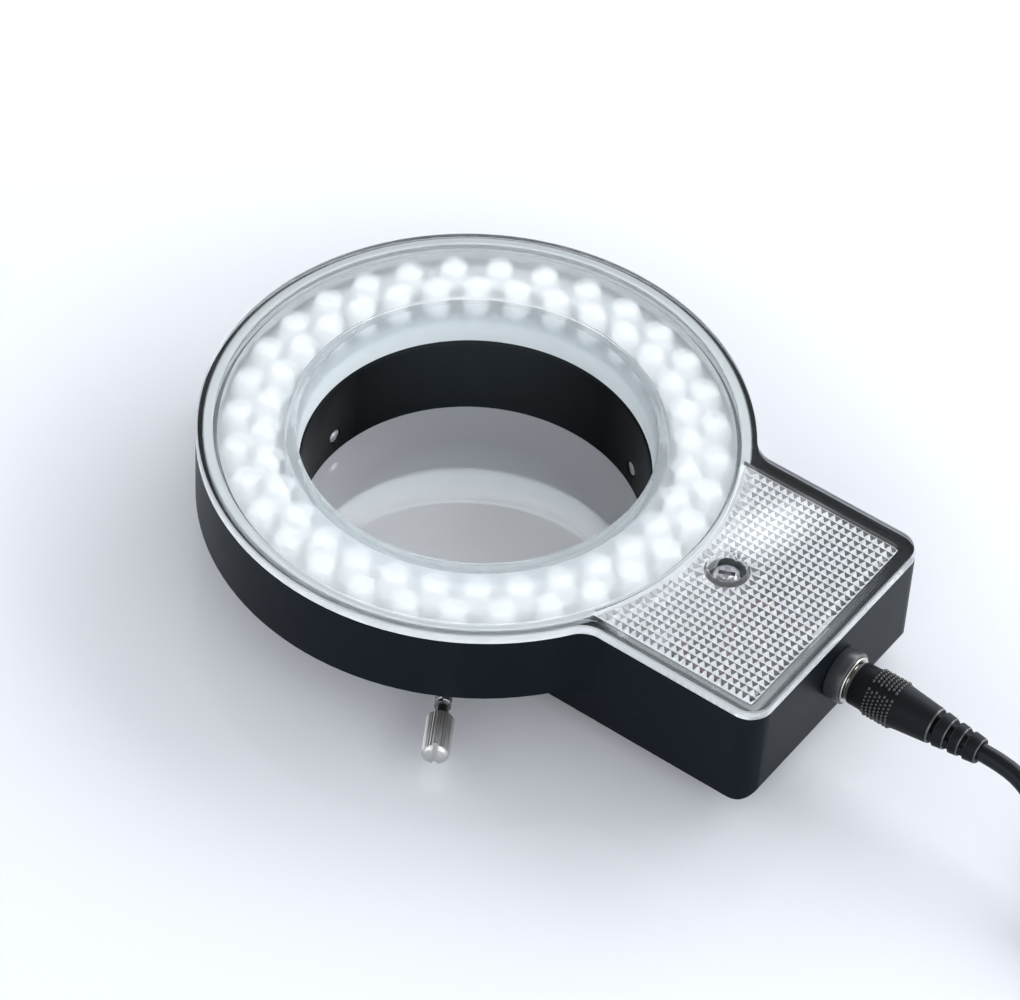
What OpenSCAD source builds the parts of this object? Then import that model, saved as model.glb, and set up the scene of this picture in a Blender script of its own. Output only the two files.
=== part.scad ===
// Microscope LED ring light, lying on its sleeve with the light side up.
// Origin on the bore's axis at the sleeve's lower rim, +X along the block, +Z up, millimetres.

/* [Ring] */
// Bore of the sleeve, which takes the objective
bore_d = 63; // [56:0.5:72]
// Distance from the bore to the middle of the inner row of LEDs
row_in = 6.7; // [6.7:0.1:9]
// Distance between the middles of the two rows of LEDs
row_gap = 5.2; // [5.2:0.1:8]
// Distance from the middle of the outer row of LEDs to the ring's outside
row_out = 6.6; // [6.6:0.1:9]
// Height of the ring's underside above the table
ring_z = 10.8; // [10.6:0.1:12]
// Height of the seam between housing and cover
seam_z = 25; // [25:0.1:30]
// Thickness of the housing's side walls
wall = 2.8; // [2:0.1:3]
// Thickness of the housing's floors
floor_t = 2; // [1.4:0.1:2.2]
// Rounding of the ring's lower edge
ring_edge = 0.2; // [0.2:0.1:1.2]

/* [Block] */
// Width of the block across the ring's axis
block_w = 52.4; // [50:0.2:60]
// How far the block reaches past the ring
block_l = 27.9; // [27:0.1:45]
// Height of the block's underside above the table
block_z = 4.2; // [3:0.1:5]
// How far the driver's room and its end wall reach in under the ring
block_root = 8; // [7:0.1:8.4]
// Radius of the block's upright corners
block_corner = 4.5; // [4.2:0.1:8]
// Radius of the hollow corner between ring and block
block_fillet = 5; // [3:0.5:10]
// Rounding of the block's lower edges
block_edge = 3; // [1:0.5:4]

/* [Cover] */
// Thickness of the cover's plate
cover_t = 1.9; // [1.5:0.1:3]
// How much further out the cover's opening is at its top than the bore
cover_flare = 0.75; // [0.5:0.05:1]
// Wall of the skirt round the opening, at its top
skirt_t = 2; // [1.5:0.1:2.2]
// Thickness of the locating rib under the plate
rib_t = 0.9; // [0.6:0.1:1.2]
// Depth of the locating rib
rib_h = 2; // [1.5:0.1:2.2]
// Radius of the crush nubs on the rib
nub_r = 0.6; // [0.4:0.1:0.8]
// Diameter of the screw well
well_d = 6.9; // [6.4:0.1:8]
// Wall and floor of the screw well
well_t = 1; // [0.8:0.1:1.5]
// How far the cover screw lies outside the ring
screw_out = 3.8; // [3.2:0.1:5]
// Diameter of the cover screw's head
screw_head_d = 5.4; // [5:0.1:6]
// Height of the cover screw's head
screw_head_h = 1.9; // [1.5:0.1:2.2]
// Thread diameter of the cover screw
screw_d = 2.9; // [2.5:0.1:3]

/* [Sleeve] */
// Wall of the sleeve
sleeve_t = 3; // [2.5:0.1:3]
// How much thicker the sleeve is below its flange, where the clamp screws go through
foot_t = 1.1; // [0.6:0.1:1.1]
// Height of the sleeve
sleeve_h = 16.8; // [15:0.1:17.5]
// Chamfer inside the sleeve's upper rim
sleeve_chamfer = 0.5; // [0.2:0.1:1]
// How far the flange that is screwed to the ring stands out from the sleeve
flange_w = 6; // [5.8:0.1:7]
// Thickness of the flange
flange_t = 1.5; // [1:0.1:2]
// How far the flange screws lie outside the sleeve
flange_screw_out = 3.5; // [3.2:0.1:3.6]
// Thread diameter of the flange screws
flange_screw_d = 2.5; // [2:0.1:2.6]
// Head diameter of the flange screws
flange_head_d = 4.4; // [4:0.1:4.6]
// Head height of the flange screws
flange_head_h = 1.5; // [1:0.1:1.8]

/* [Clamp screws] */
// Height of the clamp screws above the table
clamp_z = 4.3; // [3.4:0.1:4.6]
// Thread diameter of the clamp screws
clamp_d = 3; // [2.5:0.5:3]
// Diameter of the knurled heads
thumb_d = 5; // [4.5:0.1:6]
// Length of the knurled heads
thumb_l = 9; // [7:0.5:14]
// How far a head's inner end lies inside the ring's edge
thumb_inset = 1; // [0:0.1:2]
// Diameter of the neck behind a head
neck_d = 2.4; // [2:0.1:2.8]
// Length of the neck behind a head
neck_l = 2.5; // [1:0.1:4]
// Diameter of the swivelling end pads
pad_d = 2.7; // [2.2:0.1:2.8]
// Thickness of the swivelling end pads
pad_t = 0.6; // [0.5:0.05:0.8]
// Ridges round a knurled head
knurl_n = 30; // [24:2:40]
// Depth of the knurl
knurl_h = 0.2; // [0.1:0.05:0.3]

/* [LEDs] */
// Diameter of a LED's body
led_d = 5; // [4:0.1:5]
// Height of a LED from its board to its top
led_h = 8.5; // [7:0.1:8.6]
// LEDs in each row
led_n = 32; // [24:1:32]
// Height of the LED board's underside above the ring's floor
board_lift = 1.8; // [1.6:0.1:2]
// Thickness of the circuit boards
board_t = 1.6; // [1:0.1:1.6]
// Thickness of the reflector
reflector_t = 0.6; // [0.4:0.1:0.8]

/* [Socket and plug] */
// Height of the socket's axis above the table
jack_z = 16.5; // [16.4:0.1:17]
// Diameter of the socket's collar
collar_d = 9.8; // [9.4:0.1:11]
// Length of the socket's collar
collar_l = 3.1; // [2:0.1:4]
// Diameter of the socket's threaded barrel
jack_d = 8; // [7.6:0.1:8.2]
// Length of the threaded barrel behind the collar
jack_l = 14; // [13:0.1:14.5]
// Across flats of the socket's nut
nut_af = 10; // [9.4:0.1:10.4]
// Thickness of the socket's nut
nut_t = 2.5; // [2:0.1:3]
// Outside diameter of the plug's barrel
barrel_d = 5.5; // [5.3:0.1:5.6]
// Length of the plug's barrel
barrel_l = 9.5; // [8:0.1:9.8]
// Diameter of the socket's centre pin
pin_d = 2; // [1.8:0.1:2.1]
// Diameter of the plug's grip at its front
grip_d = 8; // [7:0.1:9]
// Length of the plug's grip
grip_l = 16.5; // [14:0.5:17]
// Length of the plug's strain relief
relief_l = 9.1; // [8:0.1:9.2]

/* [Cord and adapter] */
// Diameter of the cord
cord_d = 3.4; // [3:0.1:3.4]
// Turns of the coil in each layer
coil_turns = 5; // [2:1:5]
// Step from turn to turn of the coil
coil_step = 3.9; // [3.85:0.05:4]
// Radius of the coil's innermost turn
coil_in = 10.25; // [9:0.25:11]
// Width of a cord tie
tie_w = 8; // [5:0.5:10]
// Thickness of a cord tie
tie_t = 0.8; // [0.6:0.1:1]
// Length of the adapter's case
case_l = 56; // [50:1:70]
// Width of the adapter's case
case_w = 38; // [34:1:48]
// Height of the adapter's case, its lid included
case_h = 26; // [25:0.5:32]
// Wall of the adapter's case
case_t = 2; // [1.5:0.1:2.5]
// Length of an adapter blade outside the lid
blade_l = 16; // [14:0.5:18]
// Distance between the adapter's two blades
blade_gap = 12.7; // [12:0.1:14]

/* [Hidden] */
$fn = 64;

// Clearances
seat_gap = 0.1;    // between pieces that seat on each other
slip_gap = 0.15;   // between the cover's rib and the housing's wall
thread_gap = 0.05; // between a screw's thread and its hole
open_gap = 0.3;    // between pieces that only pass each other
cut = 0.1;         // how far a cutting shape runs past a face

// Ring, block and cover
bore_r = bore_d / 2;
led_inner_r = bore_r + row_in;
led_outer_r = led_inner_r + row_gap;
ring_r = led_outer_r + row_out;
ring_d = 2 * ring_r;
block_x = ring_r + block_l;
block_back = ring_r - block_root;
screw_x = ring_r + screw_out;
cover_hole_d = bore_d + 2 * cover_flare;
sleeve_r = bore_r + sleeve_t;
hub_r = sleeve_r + seat_gap;
hub_t = 1.6;
ledge_w = 1.8;
ring_floor = ring_z + floor_t;
block_floor = block_z + floor_t;
board_z = ring_floor + board_lift;
board_top = board_z + board_t;
cover_top = seam_z + cover_t;
fillet_y = block_w / 2 + block_fillet;
fillet_x = sqrt(pow(ring_r + block_fillet, 2) - pow(fillet_y, 2));
rib_in = wall + slip_gap;
skirt_low = sleeve_h + slip_gap;
skirt_low_r = bore_r + slip_gap;
skirt_out = cover_hole_d / 2 + skirt_t;
nub_back = 2.6;    // from the hollow corner's middle to the first nub
nub_front = 10.6;  // from the block's end face to the second nub
nub_x = [fillet_x + nub_back, block_x - nub_front];
well_sink = 0.7;   // how far the screw's seat lies below the well's wall thickness
well_floor = seam_z - well_t - well_sink;
well_low = well_floor - 1.5 * well_t;
post_r = 3.5;
screw_l = 10;

// Sleeve and clamp screws
flange_d = 2 * (sleeve_r + flange_w);
root_r = flange_d / 2 + open_gap; // the block's lower part goes round the flange
flange_screw_r = sleeve_r + flange_screw_out;
flange_slot_l = 2.4;
flange_slot_w = 0.7;
flange_slot_h = 0.7;
flange_tip = 0.6;  // from a flange screw's tip to the LED board
flange_at = [0, 120, 240];
boss_r = 3;
clamp_at = [60, 180, 300];
clamp_in = [2.3, 2.3, 0]; // how far each screw is turned in from the place where its head clears the ring's edge
pad_sink = 2.35;   // how far a pad stands back in its hole there
pad_in = bore_r + pad_sink;
pad_out = pad_in + pad_t;
stem_d = 1.2;
stem_l = 1;
head_in = ring_r - thumb_inset;
head_out = head_in + thumb_l;
head_bevel = 0.5;
head_end_d = thumb_d - 2.4 * head_bevel;
head_rim_d = thumb_d - 1.2 * head_bevel;
slot_w = 0.8;
slot_h = 0.9;

// LEDs
led_flange = 0.3;
led_flange_h = 1;
led_step = 360 / led_n;
led_turn = led_step / 4;
reflector_z = board_top + led_flange_h + slip_gap / 3;
reflector_top = seam_z - rib_h - slip_gap;
tray_r = ring_r - wall - open_gap;

// Driver in the block
standoff_h = 3.2;
driver_side = 0.6; // from the driver board's edge to the wall
driver_z = block_floor + standoff_h;
driver_top = driver_z + board_t;
driver_x = [block_back + wall + 2 * driver_side, block_x - wall - driver_side];
driver_w = block_w - 2 * (wall + driver_side);
standoff_r = 2.4;
standoff_in = 3.5;
standoff_x = [driver_x[0] + standoff_in, driver_x[1] - standoff_in];
standoff_y = driver_w / 2 - standoff_in + 0.2;
board_screw_d = 2;
board_head_d = 3.6;
board_head_h = 1.4;
board_screw_l = 4;
chip_l = 5;
chip_w = 4;
chip_h = 1.5;
chip_lift = 0.2;
chip_pitch = 1.27;
chip_leg_l = 1.4;
chip_leg_w = 0.4;
choke_d = 10;
choke_neck_d = 7.5;
choke_h = 7;
choke_rim = 1.5;
capacitor_d = 8;
capacitor_h = 10;
capacitor_groove = 0.6;
resistor_l = 3.2;
resistor_w = 1.6;
resistor_h = 0.6;
resistor_pitch = 3.5;
resistor_n = 4;
chip_at = [driver_x[1] - 0.9 * chip_l, -driver_w * 0.29];
choke_at = [driver_x[1] - 1.25 * choke_d, -driver_w * 0.24];
capacitor_at = [driver_x[1] - 1.3 * capacitor_d, driver_w * 0.285];
resistor_x = standoff_x[0] + 1.3 * standoff_in;
resistor_y = driver_w / 2 - 1.1 * standoff_in;
lead_d = 1.4;
lead_bore_d = 1;
lead_y = driver_w / 2 - 1.2;

// Socket and plug
collar_in = block_x;
collar_out = block_x + collar_l;
jack_back = block_x - jack_l;
socket_r = barrel_d / 2 + 0.35;
contact_r = barrel_d / 2 + seat_gap;
ring_l = 0.4;
plug_x = collar_out + ring_l + open_gap;
barrel_tip = plug_x - barrel_l;
socket_end = barrel_tip - 1;
tag_l = 3.4;
tag_y = 1.8;
tag_t = 0.4;
tag_h = 2;
tag_x = jack_back - tag_l;
relief_x = plug_x + grip_l;
cord_x = relief_x + relief_l;
relief_ribs = 3;

// Cord, coil and adapter
cord_r = cord_d / 2;
run_lead = 1.2;    // how far the cord leaves the plug straight
run_drop = 41;     // length over which the cord comes down to the table
run_turn = 5.7;    // where the cord starts to swing to the side
run_swing = 37;    // length over which it swings
run_steps = 15;
coil_reach = 52.7; // from the plug's relief to the coil's middle
coil_start = -17.75;
coil_out = coil_in + coil_turns * coil_step;
coil_at = [cord_x + coil_reach, coil_start + coil_out];
coil_z = tie_t + seat_gap + cord_r;
coil_rings = 24;
tie_gap = 0.4;
tail_flat = 1.7;   // straight stretch at each end of the tail
tail_l = 28.6;     // from the coil to the adapter's relief
tail_steps = 7;
relief_end = coil_at[0] + cord_d + tail_l;
adapter_relief_l = 12;
case_x = relief_end + adapter_relief_l;
case_mid = case_h / 2;
case_corner = 4;
lid_t = 3;
blade_w = 6.3;
blade_t = 1.5;
blade_hole_d = 3.2;
winding_l = 20;
winding_w = 18;
winding_rim = 3;
winding_core = 14;
winding_h = 16;

// Smooth step from 0 to 1
function ease(t) = let (u = min(max(t, 0), 1)) u * u * (3 - 2 * u);

// The stretch from the plug to the coil
run_end = coil_at[0] - cord_d;
run_points = [for (i = [0:run_steps])
    let (d = run_lead + i * (run_end - cord_x - 2 * run_lead - cord_d / 2) / run_steps)
    [cord_x + d, coil_start * ease((d - run_turn) / run_swing),
        jack_z + (coil_z - jack_z) * ease((d - run_lead) / run_drop)]];

// The stretch from the coil to the adapter
tail_low = coil_z + coil_step;
tail_points = [for (i = [0:tail_steps])
    let (t = i / tail_steps, from = coil_at[0] + cord_d + tail_flat, to = relief_end - tail_flat)
    [from + t * (to - from), coil_start, tail_low + t * t * (3 - 2 * t) * (case_mid - tail_low)]];

// The wires inside the block
red_points = [
    [tag_x - 1, -tag_y, jack_z], [tag_x - 2, -tag_y - 1.4, jack_z + 0.9],
    [tag_x - 2, -0.3 * lead_y, jack_z + 2.6], [tag_x + 0.2, -0.52 * lead_y, jack_z + 3.7],
    [tag_x + 3.2, -0.75 * lead_y, jack_z + 2.7], [tag_x + 4.4, -0.91 * lead_y, jack_z + 1.3],
    [tag_x + 3, -0.985 * lead_y, jack_z + 0.6], [tag_x - 0.5, -lead_y, jack_z],
    [tag_x - 4.5, -0.965 * lead_y, jack_z - 1.1], [tag_x - 6.8, -0.87 * lead_y, jack_z - 2.6],
    [tag_x - 7.3, -0.8 * lead_y, jack_z - 3.8], [tag_x - 7.3, -0.8 * lead_y, driver_top + lead_d / 2],
    [tag_x - 7.3, -0.8 * lead_y, driver_top]
];
black_points = [
    [tag_x - 1, tag_y, jack_z], [tag_x - 1.9, tag_y + 0.8, jack_z - 0.4],
    [tag_x - 2.6, 0.27 * lead_y, jack_z - 1.7], [tag_x - 3.4, 0.39 * lead_y, jack_z - 3.4],
    [tag_x - 3.7, 0.46 * lead_y, driver_top + lead_d], [tag_x - 3.7, 0.46 * lead_y, driver_top]
];

// Unit vector along v
function unit(v) = v / norm(v);

// Direction of a path at its point i
function heading(p, i) = unit(p[min(i + 1, len(p) - 1)] - p[max(i - 1, 0)]);

// Ring of points round a path's point i, square to the path
function ring_at(p, i, r, sides, ref) =
    let (t = heading(p, i), a = unit(cross(ref, t)), b = cross(t, a))
    [for (k = [0:sides - 1]) p[i] + r * (cos(360 * k / sides) * a + sin(360 * k / sides) * b)];

// Closed tube of radius r along the points p
module tube(p, r, sides = 8, ref = [0, 0, 1]) {
    n = len(p);
    skin = [for (i = [0:n - 1]) each ring_at(p, i, r, sides, ref)];
    last = (n - 1) * sides;
    sides_a = [for (i = [0:n - 2], k = [0:sides - 1])
        [i * sides + k, (i + 1) * sides + k, i * sides + (k + 1) % sides]];
    sides_b = [for (i = [0:n - 2], k = [0:sides - 1])
        [(i + 1) * sides + k, (i + 1) * sides + (k + 1) % sides, i * sides + (k + 1) % sides]];
    cap_a = [for (k = [1:sides - 2]) [0, k, k + 1]];
    cap_b = [for (k = [1:sides - 2]) [last, last + k + 1, last + k]];
    polyhedron(points = skin, faces = concat(sides_a, sides_b, cap_a, cap_b));
}

// Point of the coil after the angle a: in along the lower layer, out along the upper one
function coil_point(a) =
    let (
        whole = 720 * coil_turns,
        middle = whole / 2,
        r = coil_in + coil_step * abs(a - middle) / 360,
        climb = min(max((a - middle + 90) / 180, 0), 1),
        z = coil_z + coil_step * (1 - cos(180 * climb)) / 2
    )
    [coil_at[0] + r * sin(a), coil_at[1] - r * cos(a), z];

coil_steps = 2 * coil_turns * coil_rings;
coil_path = concat(
    [coil_point(0) - [cord_d, 0, 0]],
    [for (i = [0:coil_steps]) coil_point(360 * i / coil_rings)],
    [coil_point(720 * coil_turns) + [cord_d, 0, 0]]
);
coil_least_gap = min([
    for (i = [0:coil_steps], j = [i + coil_rings / 2:1:coil_steps])
        norm(coil_path[i + 1] - coil_path[j + 1]) - cord_d
]);
echo(coil_least_gap = coil_least_gap);

// Plan of the ring and its block, drawn in by the distance i
module outline(i) {
    corner_r = max(block_corner - i, 0.2);
    corner_in = i + corner_r;
    circle(r = ring_r - i);
    difference() {
        union() {
            translate([0, i - block_w / 2]) square([block_x - corner_in, block_w - 2 * i]);
            translate([0, corner_in - block_w / 2]) square([block_x - i, block_w - 2 * corner_in]);
            for (s = [-1, 1]) {
                translate([block_x - corner_in, s * (block_w / 2 - corner_in)]) circle(r = corner_r);
                polygon([[0, 0], [fillet_x, s * fillet_y], [fillet_x, 0]]);
            }
        }
        for (s = [-1, 1]) translate([fillet_x, s * fillet_y]) circle(r = block_fillet + i);
    }
}

// Rectangle from the origin with its far lower corner rounded
module low_round(l, h, r) {
    square([l - r, h]);
    translate([0, r]) square([l, h - r]);
    translate([l - r, r]) circle(r = r);
}

// Upright tube
module pipe(r_out, r_in, h) {
    difference() {
        cylinder(r = r_out, h = h);
        translate([0, 0, -cut]) cylinder(r = r_in, h = h + 2 * cut);
    }
}

// Lays a shape that is drawn along +Z along +X, at the socket's height
module along_x(x) {
    translate([x, 0, jack_z]) rotate([0, 90, 0]) children();
}

// Puts a shape that is drawn along +Z on a clamp screw's axis, at the distance r from the bore's axis
module on_radius(angle, r) {
    rotate([0, 0, angle]) translate([r, 0, clamp_z]) rotate([0, 90, 0]) children();
}

// Puts copies of a shape at the same radius
module round_the_ring(angles, r) {
    for (a = angles) rotate([0, 0, a]) translate([r, 0, 0]) children();
}

// Puts copies of a shape on the driver board's four standoffs
module at_standoffs(z) {
    for (x = standoff_x, s = [-1, 1]) translate([x, s * standoff_y, z]) children();
}

// Lower part of the block, with its edges rounded
module block_low() {
    h = ring_floor - block_z;
    difference() {
        intersection() {
            translate([0, -block_w / 2, block_z]) cube([block_x, block_w, h]);
            translate([0, block_w / 2, block_z]) rotate([90, 0, 0]) linear_extrude(block_w)
                low_round(block_x, h, block_edge);
            for (s = [0, 1]) mirror([0, s, 0]) translate([0, 0, block_z])
                rotate([90, 0, 90]) linear_extrude(block_x)
                union() {
                    low_round(block_w / 2, h, block_edge);
                    translate([-block_w / 2, 0]) square([block_w / 2 + cut, h]);
                }
            translate([0, 0, block_z]) linear_extrude(h) outline(0);
        }
        translate([0, 0, block_z - cut]) cylinder(r = root_r, h = h + 2 * cut);
    }
}

module housing() {
    color("#1c1d20") difference() {
        union() {
            difference() {
                union() {
                    rotate_extrude() polygon([
                        [hub_r, ring_z], [ring_r - ring_edge, ring_z], [ring_r, ring_z + ring_edge],
                        [ring_r, seam_z], [hub_r, seam_z]
                    ]);
                    translate([0, 0, ring_z]) linear_extrude(seam_z - ring_z) intersection() {
                        outline(0);
                        translate([block_back - 2, -ring_r]) square([block_x, ring_d]);
                    }
                    block_low();
                }
                translate([0, 0, board_z]) linear_extrude(seam_z) outline(wall);
                translate([0, 0, ring_floor]) linear_extrude(seam_z) difference() {
                    union() {
                        circle(r = ring_r - wall - ledge_w);
                        translate([0, wall - block_w / 2])
                            square([block_x - wall, block_w - 2 * wall]);
                    }
                    circle(r = hub_r + hub_t);
                }
                translate([block_back + wall, wall - block_w / 2, block_floor])
                    cube([block_x - block_back - 2 * wall, block_w - 2 * wall, seam_z]);
            }
            translate([0, 0, ring_z]) round_the_ring(flange_at, flange_screw_r)
                cylinder(r = boss_r, h = board_z - ring_z);
            translate([screw_x, 0, block_z + 1]) cylinder(r = post_r, h = well_low - block_z - 1);
            at_standoffs(block_z + 1) cylinder(r = standoff_r, h = driver_z - block_z - 1);
        }
        translate([0, 0, block_z]) cylinder(r = hub_r, h = seam_z);
        translate([0, 0, ring_z - cut]) round_the_ring(flange_at, flange_screw_r)
            cylinder(d = flange_screw_d + 2 * thread_gap, h = board_z - ring_z - flange_tip / 3);
        translate([screw_x, 0, well_floor - screw_l - 1])
            cylinder(d = screw_d + 2 * thread_gap, h = screw_l + 2);
        at_standoffs(driver_top - board_screw_l - open_gap)
            cylinder(d = board_screw_d + 2 * thread_gap, h = board_screw_l + 1);
        along_x(block_x - wall - cut) cylinder(d = jack_d + 2 * seat_gap, h = wall + 2 * cut);
        for (x = nub_x, s = [-1, 1])
            translate([x, s * (block_w / 2 - rib_in), seam_z - rib_h - open_gap])
            cylinder(r = nub_r + slip_gap, h = seam_z);
    }
}

module cover() {
    color([0.86, 0.92, 0.96, 0.45]) difference() {
        union() {
            translate([0, 0, seam_z]) linear_extrude(cover_t) outline(0);
            translate([0, 0, seam_z - rib_h]) linear_extrude(rib_h + cut) {
                difference() {
                    outline(rib_in);
                    outline(rib_in + rib_t);
                }
                difference() {
                    circle(r = ring_r - rib_in);
                    circle(r = ring_r - rib_in - rib_t);
                }
                for (x = nub_x, s = [-1, 1]) translate([x, s * (block_w / 2 - rib_in)]) circle(r = nub_r);
            }
            translate([0, 0, skirt_low]) cylinder(r = skirt_out, h = seam_z - skirt_low + cut);
            translate([screw_x, 0, well_low]) cylinder(r = well_d / 2 + well_t, h = seam_z - well_low + cut);
        }
        rotate_extrude() polygon([
            [0, skirt_low - cut], [skirt_low_r, skirt_low - cut], [skirt_low_r, skirt_low],
            [cover_hole_d / 2, cover_top], [cover_hole_d / 2, cover_top + cut], [0, cover_top + cut]
        ]);
        translate([screw_x, 0, well_floor]) cylinder(d = well_d, h = seam_z);
        translate([screw_x, 0, well_low - cut]) cylinder(d = screw_d + 2 * slip_gap, h = seam_z);
    }
}

module cover_screw() {
    cross_w = screw_head_d / 6;
    cross_l = screw_head_d * 0.55;
    color("silver") translate([screw_x, 0, well_floor]) difference() {
        union() {
            translate([0, 0, -screw_l]) cylinder(d = screw_d, h = screw_l + cut);
            rotate_extrude() polygon([
                [0, 0], [screw_head_d / 2, 0], [screw_head_d / 2, screw_head_h * 0.5],
                [screw_head_d * 0.43, screw_head_h * 0.8], [screw_head_d * 0.3, screw_head_h],
                [0, screw_head_h]
            ]);
        }
        for (a = [0, 90]) rotate([0, 0, a + 25])
            translate([-cross_l / 2, -cross_w / 2, screw_head_h * 0.4])
            cube([cross_l, cross_w, screw_head_h]);
    }
}

module sleeve() {
    color("#141517") difference() {
        rotate_extrude() polygon([
            [bore_r, 0], [sleeve_r + foot_t, 0], [sleeve_r + foot_t, ring_z - flange_t],
            [flange_d / 2, ring_z - flange_t],
            [flange_d / 2, ring_z], [sleeve_r, ring_z], [sleeve_r, sleeve_h],
            [bore_r + sleeve_chamfer, sleeve_h], [bore_r, sleeve_h - sleeve_chamfer]
        ]);
        for (a = clamp_at) on_radius(a, bore_r - sleeve_t)
            cylinder(d = clamp_d + 2 * thread_gap, h = 3 * sleeve_t);
        translate([0, 0, ring_z - flange_t - cut]) round_the_ring(flange_at, flange_screw_r)
            cylinder(d = flange_screw_d + 2 * slip_gap, h = flange_t + 2 * cut);
    }
}

module sleeve_screws() {
    color("#2b2c2e") translate([0, 0, ring_z - flange_t]) round_the_ring(flange_at, flange_screw_r)
        difference() {
            union() {
                translate([0, 0, -flange_head_h]) cylinder(d = flange_head_d, h = flange_head_h);
                cylinder(d = flange_screw_d, h = flange_t + board_z - ring_z - flange_tip);
            }
            for (a = [0, 90]) rotate([0, 0, a])
                translate([-flange_slot_l / 2, -flange_slot_w / 2, -flange_head_h - cut])
                cube([flange_slot_l, flange_slot_w, flange_slot_h + cut]);
        }
}

module thumbscrew(k) {
    color("silver") on_radius(clamp_at[k], -clamp_in[k]) difference() {
        union() {
            translate([0, 0, pad_out + thread_gap])
                cylinder(d = clamp_d, h = head_in - neck_l - pad_out - thread_gap);
            translate([0, 0, head_in - neck_l - cut]) cylinder(d = neck_d, h = neck_l + 2 * cut);
            translate([0, 0, head_in]) cylinder(d1 = head_end_d, d2 = head_rim_d, h = head_bevel);
            translate([0, 0, head_in + head_bevel]) linear_extrude(thumb_l - 2 * head_bevel)
                polygon([for (k = [0:2 * knurl_n - 1])
                    (thumb_d / 2 - knurl_h * (k % 2)) * [cos(180 * k / knurl_n), sin(180 * k / knurl_n)]]);
            translate([0, 0, head_out - head_bevel])
                cylinder(d1 = head_rim_d, d2 = head_end_d, h = head_bevel);
        }
        translate([0, 0, pad_out]) cylinder(d = stem_d + 2 * thread_gap, h = stem_l + slip_gap);
        translate([-thumb_d, -slot_w / 2, head_out - slot_h]) cube([2 * thumb_d, slot_w, slot_h + cut]);
    }
}

module clamp_pad(k) {
    color("gainsboro") on_radius(clamp_at[k], pad_in - clamp_in[k]) {
        cylinder(d = pad_d, h = pad_t);
        cylinder(d = stem_d, h = pad_t + stem_l);
    }
}

module led_board() {
    color("ivory") translate([0, 0, board_z]) pipe(tray_r, hub_r + 0.4, board_t);
}

// One LED, standing on the board
module led() {
    dome_z = led_h - led_d / 2;
    cylinder(d = led_d + 2 * led_flange, h = led_flange_h);
    cylinder(d = led_d, h = dome_z);
    translate([0, 0, dome_z]) sphere(d = led_d);
}

// A row of LEDs, its first one at the angle start
module led_row(r, start) {
    color("white") translate([0, 0, board_top])
        round_the_ring([for (k = [0:led_n - 1]) start + k * led_step], r) led();
}

module leds_inner() {
    led_row(led_inner_r, led_turn);
}

module leds_outer() {
    led_row(led_outer_r, led_turn + led_step / 2);
}

module reflector() {
    hole_d = led_d + 2 * slip_gap;
    hole_z = reflector_z - cut;
    hole_h = reflector_t + 2 * cut;
    color("white") difference() {
        union() {
            translate([0, 0, reflector_z]) pipe(tray_r - reflector_t / 2, hub_r + 0.4, reflector_t);
            translate([0, 0, board_top]) pipe(tray_r, tray_r - reflector_t, reflector_top - board_top);
        }
        translate([0, 0, hole_z]) for (k = [0:led_n - 1]) {
            round_the_ring([led_turn + k * led_step], led_inner_r) cylinder(d = hole_d, h = hole_h);
            round_the_ring([led_turn + (k + 0.5) * led_step], led_outer_r) cylinder(d = hole_d, h = hole_h);
        }
    }
}

module driver_board() {
    color("darkgreen") difference() {
        translate([driver_x[0], -driver_w / 2, driver_z])
            cube([driver_x[1] - driver_x[0], driver_w, board_t]);
        translate([screw_x, 0, driver_z - cut]) cylinder(r = post_r + open_gap, h = board_t + 2 * cut);
        at_standoffs(driver_z - cut) cylinder(d = board_screw_d + 2 * slip_gap, h = board_t + 2 * cut);
    }
}

module board_screws() {
    color("silver") at_standoffs(driver_top) {
        cylinder(d = board_head_d, h = board_head_h);
        translate([0, 0, -board_screw_l]) cylinder(d = board_screw_d, h = board_screw_l + cut);
    }
}

module driver_chip() {
    color("#202124") translate([chip_at[0], chip_at[1], driver_top]) {
        translate([-chip_l / 2, -chip_w / 2, chip_lift]) cube([chip_l, chip_w, chip_h]);
        for (k = [-1.5:1:1.5], s = [-1, 1])
            translate([chip_pitch * k - chip_leg_w / 2, s * (chip_w + chip_leg_l * 0.7) / 2 - chip_leg_l / 2, 0])
            cube([chip_leg_w, chip_leg_l, chip_h / 3]);
    }
}

module driver_choke() {
    color("#33302e") translate([choke_at[0], choke_at[1], driver_top]) {
        cylinder(d = choke_d, h = choke_rim);
        cylinder(d = choke_neck_d, h = choke_h);
        translate([0, 0, choke_h - choke_rim]) cylinder(d = choke_d, h = choke_rim);
    }
}

module smoothing_capacitor() {
    color("#2a2f45") translate([capacitor_at[0], capacitor_at[1], driver_top]) {
        cylinder(d = capacitor_d, h = capacitor_h / 10);
        cylinder(d = capacitor_d - capacitor_groove, h = capacitor_h / 5);
        translate([0, 0, capacitor_h * 0.16]) cylinder(d = capacitor_d, h = capacitor_h * 0.84);
    }
}

module ballast_resistors() {
    color("#17181a") for (k = [0:resistor_n - 1])
        translate([resistor_x + k * resistor_pitch - resistor_l / 2, resistor_y - resistor_w / 2, driver_top])
        cube([resistor_l, resistor_w, resistor_h]);
}

module lead_red() {
    color("red") tube(concat([[tag_x, -tag_y, jack_z]], red_points), lead_d / 2, ref = [1, 0.3, 0.2]);
}

module lead_black() {
    color("#18181a") tube(concat([[tag_x, tag_y, jack_z]], black_points), lead_d / 2, ref = [0.3, 1, 0.1]);
}

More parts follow.
